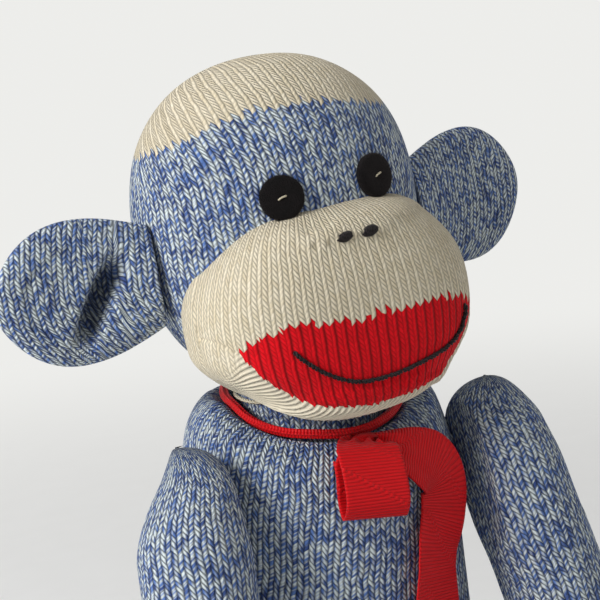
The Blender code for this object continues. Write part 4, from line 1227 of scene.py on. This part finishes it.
def make_arm(side, sign):
    radius, wrist, hand, hand_long = 0.0185, 0.015, 0.0165, 0.034
    shoulder = DOLL + Vector((sign * 0.0445, -0.017, 0.146))
    outs = (0.0, 0.0, 0.1, 0.36, 0.62, 0.86, 1.0, 1.05)
    forwards = (0.0, 0.04, 0.15, 0.25, 0.36, 0.5, 0.72, 1.0)
    downs = (0.0, 0.11, 0.27, 0.45, 0.68, 0.88, 0.985, 1.0)
    fall = 0.146 + radius - hand + 0.0005
    points = [(sign * (0.037 * 0.38 + 0.0172 * o), -0.072 * f, radius - fall * d) for o, f, d in zip(outs, forwards, downs)]
    line = smooth_line(points, 150, True)
    total = along(line)[-1]
    at = total - hand_long
    middle = (0.037 + 0.03) / 4 * 0.975
    radii = limb_radii(line, (radius, radius * 0.975, middle, wrist, hand, hand), (0, at / 2, at - hand_long / 2, at, total - hand, total))
    grid, stitch, zones, columns = limb_skin(f"arm_{side}", line, radii, round(TURN * 0.0172 / COLUMN), total - hand_long)
    grid[:, :, 2] = np.maximum(grid[:, :, 2], -0.146 + 0.0001)
    grid[:, :, 0] = sign * np.maximum(sign * grid[:, :, 0], 0.0004)
    down = line[0][2] - line[1:-1, 2]
    slope = (1 - eased(down / 0.034)) * (0.4 if sign < 0 else 0.15)
    centre = np.array(line)[1:-1][:, None, :]
    grid = centre + (grid - centre) * (1 - slope)[:, None, None]
    grid[:, :, 0] -= sign * (slope * radii[1:-1])[:, None] * 0.92
    place = Matrix.Translation(shoulder)
    tip = np.array(line[0]) - (sign * slope[0] * radius * 0.5, 0, 0)
    ends = (world(place, np.array([tip]))[0], world(place, np.array([line[-1]]))[0])
    arm = skin(f"arm_{side}_skin", world(place, grid), stitch, ends, zones, period=columns)
    swell(arm, f"arm_{side}", 0.0006)
    soften(arm, 0.016, 0.0007, 11.0 + sign)
    declare(arm, MOTTLED_TIPPED, f"arm_{side}", (f"arm_{side}",))


def make_leg(side, sign):
    radius, ankle_r, foot = 0.024, 0.019, 0.021
    hip = DOLL + Vector((sign * 0.026, -0.012, radius - 0.0005))
    splay = math.radians(5)
    ahead = np.array((sign * math.sin(splay), -math.cos(splay), 0))
    foot_z, ankle_z = foot - 0.0005 - hip.z, ankle_r - 0.0005 - hip.z
    ankle, toe = 0.25 - radius - 0.05, 0.25 - radius
    heights = ((-radius, 0), (0, 0), (ankle / 2, ankle_z / 2), (ankle, ankle_z), (toe - 0.025, foot_z), (toe, foot_z))
    line = smooth_line([ahead * run + np.array((0, 0, z)) for run, z in heights], 190, True)
    total = along(line)[-1]
    places = (0, radius, radius + ankle / 2, radius + ankle, total - 0.025, total)
    middle = (0.048 + 0.038) / 4 * 0.975
    radii = limb_radii(line, (radius, radius, middle, ankle_r, foot, foot), places)
    grid, stitch, zones, columns = limb_skin(f"leg_{side}", line, radii, round(TURN * 0.021 / COLUMN), total - 0.05, (1.0, 0, 0))
    grid[:, :, 2] = np.maximum(grid[:, :, 2], -hip.z + 0.0001)
    place = Matrix.Translation(hip)
    ends = (world(place, np.array([line[0]]))[0], world(place, np.array([line[-1]]))[0])
    leg = skin(f"leg_{side}_skin", world(place, grid), stitch, ends, zones, period=columns)
    swell(leg, f"leg_{side}", 0.0006)
    soften(leg, 0.018, 0.0007, 17.0 + sign)
    keep_above(leg, 0.0001)
    declare(leg, MOTTLED_TIPPED, f"leg_{side}", (f"leg_{side}",))


def make_tail():
    root = Vector((0, 0.019533, 0.021))
    radius, tip = 0.011, 0.0085
    drop = 0.021 - radius + 0.0005
    points = [(0, 0.0, 0)]
    for across, back, fall in zip((0, 0, 0.01, 0.06, 0.2, 0.36), (0.0, 0.1, 0.25, 0.45, 0.62, 0.7), (0, 0.35, 0.95, 1, 1, 1)):
        if back > 0:
            points.append((0.25 * across, 0.25 * back, -drop * fall - (radius - tip) * back))
    line = smooth_line(points, 170, True)
    total = along(line)[-1]
    radii = limb_radii(line, (radius, radius, (radius + tip) / 2, tip, tip), (0, radius, total / 2, total - tip, total))
    radii = radii * (0.7 + 0.3 * eased(along(line) / 0.016))
    grid, stitch, zones, columns = limb_skin("tail", line, radii, round(TURN * 0.0095 / COLUMN), total - 0.03, (1.0, 0, 0), 64)
    grid[:, :, 2] = np.maximum(grid[:, :, 2], -0.021 + 0.0001)
    place = Matrix.Translation(root)
    ends = (world(place, np.array([line[0]]))[0], world(place, np.array([line[-1]]))[0])
    tail = skin("tail_skin", world(place, grid), stitch, ends, zones, period=columns)
    sewn, loose = root + Vector((0, 0.003, 0)), root + Vector((0, 0.02, 0))
    declare(tail, MOTTLED_TIPPED, ("torso", "tail"), ("tail",), (tuple(sewn), tuple(loose)))


# Ribbon

RIBBON, RIBBON_THICK = 0.022, 0.0006
BAND_RADIUS, BAND_THICK = 0.0285, 0.0034
KNOT_SIZE = (0.011, 0.005, 0.008)


def chest_point(tree, x, z, off):
    """A point held off the chest, the chest's normal and the level direction along it."""
    place, normal, _, _ = tree.ray_cast(Vector((x, DOLL.y - 0.1, z)), Vector((0, 1, 0)))
    if normal.y > 0:
        normal = -normal
    return place + normal * off, normal, normal.cross(Vector((0, 0, 1))).normalized()


def strip(name, line, widths, across, thick, cup=0.0):
    """A ribbon along a line, with a soft edge and its weave map in millimetres."""
    line = np.array(line)
    ahead = np.gradient(line, axis=0)
    ahead /= np.linalg.norm(ahead, axis=1)[:, None]
    run = along(line) / MM
    shares = np.linspace(-1, 1, 27)
    rings, maps = [], []
    for centre, forward, width, wide, far in zip(line, ahead, widths, across, run):
        wide = np.array(wide) - forward * np.dot(wide, forward)
        wide /= np.linalg.norm(wide)
        face = np.cross(forward, wide)
        squeeze = (RIBBON / width - 1)
        top, under = [], []
        for s in shares:
            wave = cup * (s * s - 0.4) * width
            pleat = 0.0008 * min(squeeze, 1.2) * math.cos(s * 9.0)
            point = centre + wide * width / 2 * s + face * (wave + pleat)
            top.append(point + face * thick / 2)
            under.append(point - face * thick / 2)
        rings.append(top + under[::-1])
        maps.append([(s * 11, far) for s in shares] + [(s * 11, far) for s in shares[::-1]] + [(-11, far)])
    grid, chart_map = np.array(rings), np.array(maps)
    return skin(name, grid, chart_map, (grid[0].mean(axis=0), grid[-1].mean(axis=0)))


def necked(count, both_ends):
    share = np.linspace(0, 1, count)
    near = np.minimum(share, 1 - share) if both_ends else share * 0.5
    return RIBBON * (0.42 + 0.58 * eased(near / 0.15))


def make_ribbon(torso_tree):
    rings = []
    cols, sides = 180, 20
    half = BAND_THICK / 2
    for i in range(cols + 1):
        angle = TURN * i / cols
        out = Vector((math.sin(angle), -math.cos(angle), 0))
        place, _, _, _ = torso_tree.ray_cast(DOLL + out * BAND_RADIUS + Vector((0, 0, 0.1925)), Vector((0, 0, -1)))
        centre = place + Vector((0, 0, half + 0.0003))
        rings.append((centre, out))
    heights = np.array([c.z for c, _ in rings[:-1]])
    kernel = np.ones(9) / 9
    heights = np.convolve(np.concatenate([heights[-4:], heights, heights[:4]]), kernel, "valid")
    front_z = heights[0]
    grid = []
    for i in range(cols + 1):
        centre, out = rings[i]
        centre = Vector((centre.x, centre.y, heights[i % cols]))
        ring = []
        for j in range(sides):
            a = TURN * j / sides
            fold = 0.78 + 0.22 * math.cos(5 * a + 0.5 * math.sin(3 * TURN * i / cols))
            ring.append(tuple(centre + half * fold * (out * math.cos(a) + Vector((0, 0, math.sin(a))))))
        grid.append(ring)
    grid = np.array(grid)
    run = np.linspace(0, TURN * BAND_RADIUS / MM, cols + 1)[:, None] * np.ones((1, sides + 1))
    weave = np.stack([np.linspace(-11, 11, sides + 1)[None, :] * np.ones((cols + 1, 1)), run], axis=2)
    band = skin("ribbon_band_gathered", grid, weave)
    declare(band, GROSGRAIN, "torso", ("ribbon_band",))
    knot_at = DOLL + Vector((0, -(BAND_RADIUS + (BAND_THICK + KNOT_SIZE[1]) / 2 + 0.0003), front_z - 0.004))
    rows, cols = 40, 64
    rings = []
    for row in range(1, rows):
        polar = math.pi * row / rows
        out = math.sin(polar) ** 0.75
        ring = []
        for j in range(cols):
            a = TURN * j / cols
            crease = 1 - 0.07 * (0.5 + 0.5 * math.cos(7 * polar + 1.5 * math.cos(a)))
            x = KNOT_SIZE[0] / 2 * out * math.copysign(abs(math.cos(a)) ** 0.75, math.cos(a)) * crease
            y = KNOT_SIZE[1] / 2 * out * math.copysign(abs(math.sin(a)) ** 0.75, math.sin(a)) * crease
            ring.append(tuple(knot_at + Vector((x, y, KNOT_SIZE[2] / 2 * math.cos(polar)))))
        rings.append(ring)
    grid = np.array(rings)
    weave = np.stack([np.linspace(-11, 11, rows - 1)[:, None] * np.ones((1, cols + 1)),
                      np.linspace(0, 28, cols + 1)[None, :] * np.ones((rows - 1, 1))], axis=2)
    top = Vector((0, 0, KNOT_SIZE[2] / 2))
    knot = skin("ribbon_knot_folds", grid, weave, (tuple(knot_at + top), tuple(knot_at - top)))
    declare(knot, GROSGRAIN, "torso", ("ribbon_knot",))

    lying = 0.0003 + RIBBON_THICK / 2
    layer = RIBBON_THICK + 0.0003
    tail_off, loop_off = lying + 3 * layer, lying + 4 * layer
    forward = Vector((0, -1, 0))
    quarter = Vector((0, 0, KNOT_SIZE[2] / 4))
    high = knot_at + quarter
    low = knot_at + forward * 0.0014 - quarter
    over = high + forward * (KNOT_SIZE[1] / 2 + layer)
    over.x += -0.0052 / 2
    front, back = [high, over], []
    for share in (0.3, 0.55, 0.8):
        x, z = -0.0052 * math.sqrt(share), front_z - 0.0245 * share
        full = math.sin(math.pi / 2 * min(share / 0.77, 1))
        front.append(chest_point(torso_tree, x, z, loop_off + 0.0062 * full)[0])
        back.append(chest_point(torso_tree, x, z, loop_off)[0])
    turn, _, level = chest_point(torso_tree, -0.0052, front_z - 0.0245, loop_off + 0.0031)
    lean = Matrix.Rotation(math.radians(8), 3, "Y") @ level
    line = smooth_line([*front, turn, *reversed(back), low], 110)
    loop = strip("ribbon_loop_strip", line, necked(110, True), [tuple(lean)] * 110, RIBBON_THICK)
    declare(loop, GROSGRAIN, "torso", ("ribbon_loop",))
    round(float(along(line)[-1]), 4)

    points, normals = [], []
    for across, drop in zip((0.34, 0.66, 0.88, 0.96, 0.9, 0.74, 0.62, 0.56), (0.1, 0.15, 0.21, 0.29, 0.4, 0.54, 0.74, 1.0)):
        place, normal, _ = chest_point(torso_tree, 0.026 * across, front_z - 0.078 * drop, tail_off)
        points.append(place)
        normals.append(normal)
    line = smooth_line([knot_at, *points], 120)
    wide = np.cross(smooth_line([normals[0], *normals], 120), np.gradient(line, axis=0))
    tail = strip("ribbon_tail_long_strip", line, necked(120, False), wide, RIBBON_THICK)
    declare(tail, GROSGRAIN, "torso", ("ribbon_tail_long",))
    round(float(along(line)[-1]), 4)

    points = []
    for share in (0.56, 0.78, 1):
        place, _, level = chest_point(torso_tree, -0.003 * share, front_z - 0.018 * share, lying)
        points.append(place)
    line = smooth_line([knot_at - forward * 0.0014 - quarter, *points], 40)
    stub = strip("ribbon_tail_short_strip", line, necked(40, False), [tuple(level)] * 40, RIBBON_THICK)
    declare(stub, GROSGRAIN, "torso", ("ribbon_tail_short",))
    round(float(along(line)[-1]), 4)


# Stage, lights and camera

def make_stage():
    mesh = bpy.data.meshes.new("studio_floor")
    size = 12.0
    built = bmesh.new()
    bmesh.ops.create_grid(built, x_segments=24, y_segments=24, size=size)
    built.to_mesh(mesh)
    built.free()
    floor = bpy.data.objects.new("studio_floor", mesh)
    bpy.context.collection.objects.link(floor)
    mesh.materials.append(floor_material())

    space = bpy.data.worlds.new("studio")
    bpy.context.scene.world = space
    space.use_nodes = True
    tree = space.node_tree
    tree.nodes.clear()
    out = tree.nodes.new("ShaderNodeOutputWorld")
    seen = tree.nodes.new("ShaderNodeBackground")
    seen.inputs["Color"].default_value = (*linear(BACKGROUND), 1)
    light = tree.nodes.new("ShaderNodeBackground")
    light.inputs["Color"].default_value = (1.0, 1.0, 1.0, 1)
    light.inputs["Strength"].default_value = 0.3
    pick = tree.nodes.new("ShaderNodeMixShader")
    feed(tree, seen_by_eye(tree), pick.inputs[0])
    tree.links.new(light.outputs[0], pick.inputs[1])
    tree.links.new(seen.outputs[0], pick.inputs[2])
    tree.links.new(pick.outputs[0], out.inputs[0])

    for name, place, size, power in (("key_light", (-1.35, -0.3, 0.95), 0.6, 20.0), ("fill_light", (1.0, -1.3, 0.6), 1.2, 2.0),
                                     ("top_light", (-0.2, 0.5, 1.3), 0.9, 4.0)):
        data = bpy.data.lights.new(name, "AREA")
        data.size = size
        data.energy = power
        lamp = bpy.data.objects.new(name, data)
        lamp.location = place
        lamp.rotation_euler = (HEAD - Vector(place)).to_track_quat("-Z", "Y").to_euler()
        bpy.context.collection.objects.link(lamp)


def make_camera():
    data = bpy.data.cameras.new("photo_camera")
    data.sensor_width = 36
    data.lens = 36 * DISTANCE / (PHOTO * PIXEL)
    data.clip_end = 30
    camera = bpy.data.objects.new("photo_camera", data)
    half = PHOTO / 2
    target = HEAD + RIGHT * (half - HEAD_PIXEL[0]) * PIXEL - UP * (half - HEAD_PIXEL[1]) * PIXEL
    back = (EYE_POINT - target).normalized()
    right = (RIGHT - back * RIGHT.dot(back)).normalized()
    up = back.cross(right)
    turn = Matrix((right, up, back)).transposed().to_4x4()
    camera.matrix_world = Matrix.Translation(EYE_POINT) @ turn
    bpy.context.collection.objects.link(camera)
    bpy.context.scene.camera = camera
    bpy.context.scene.view_settings.view_transform = "Standard"


make_camera()
head = make_head()
muzzle = make_muzzle()
head_tree, muzzle_tree = tree_of(head), tree_of(muzzle)
for side, sign in (("left", 1), ("right", -1)):
    make_eye(side, sign, head_tree)
    make_nostril(side, sign, muzzle_tree)
    make_ear(side, sign)
    make_arm(side, sign)
    make_leg(side, sign)
make_smile(muzzle_tree)
make_torso()
make_neck()
make_tail()
make_ribbon(tree_of(frame["nodes"]["torso"]))
make_stage()
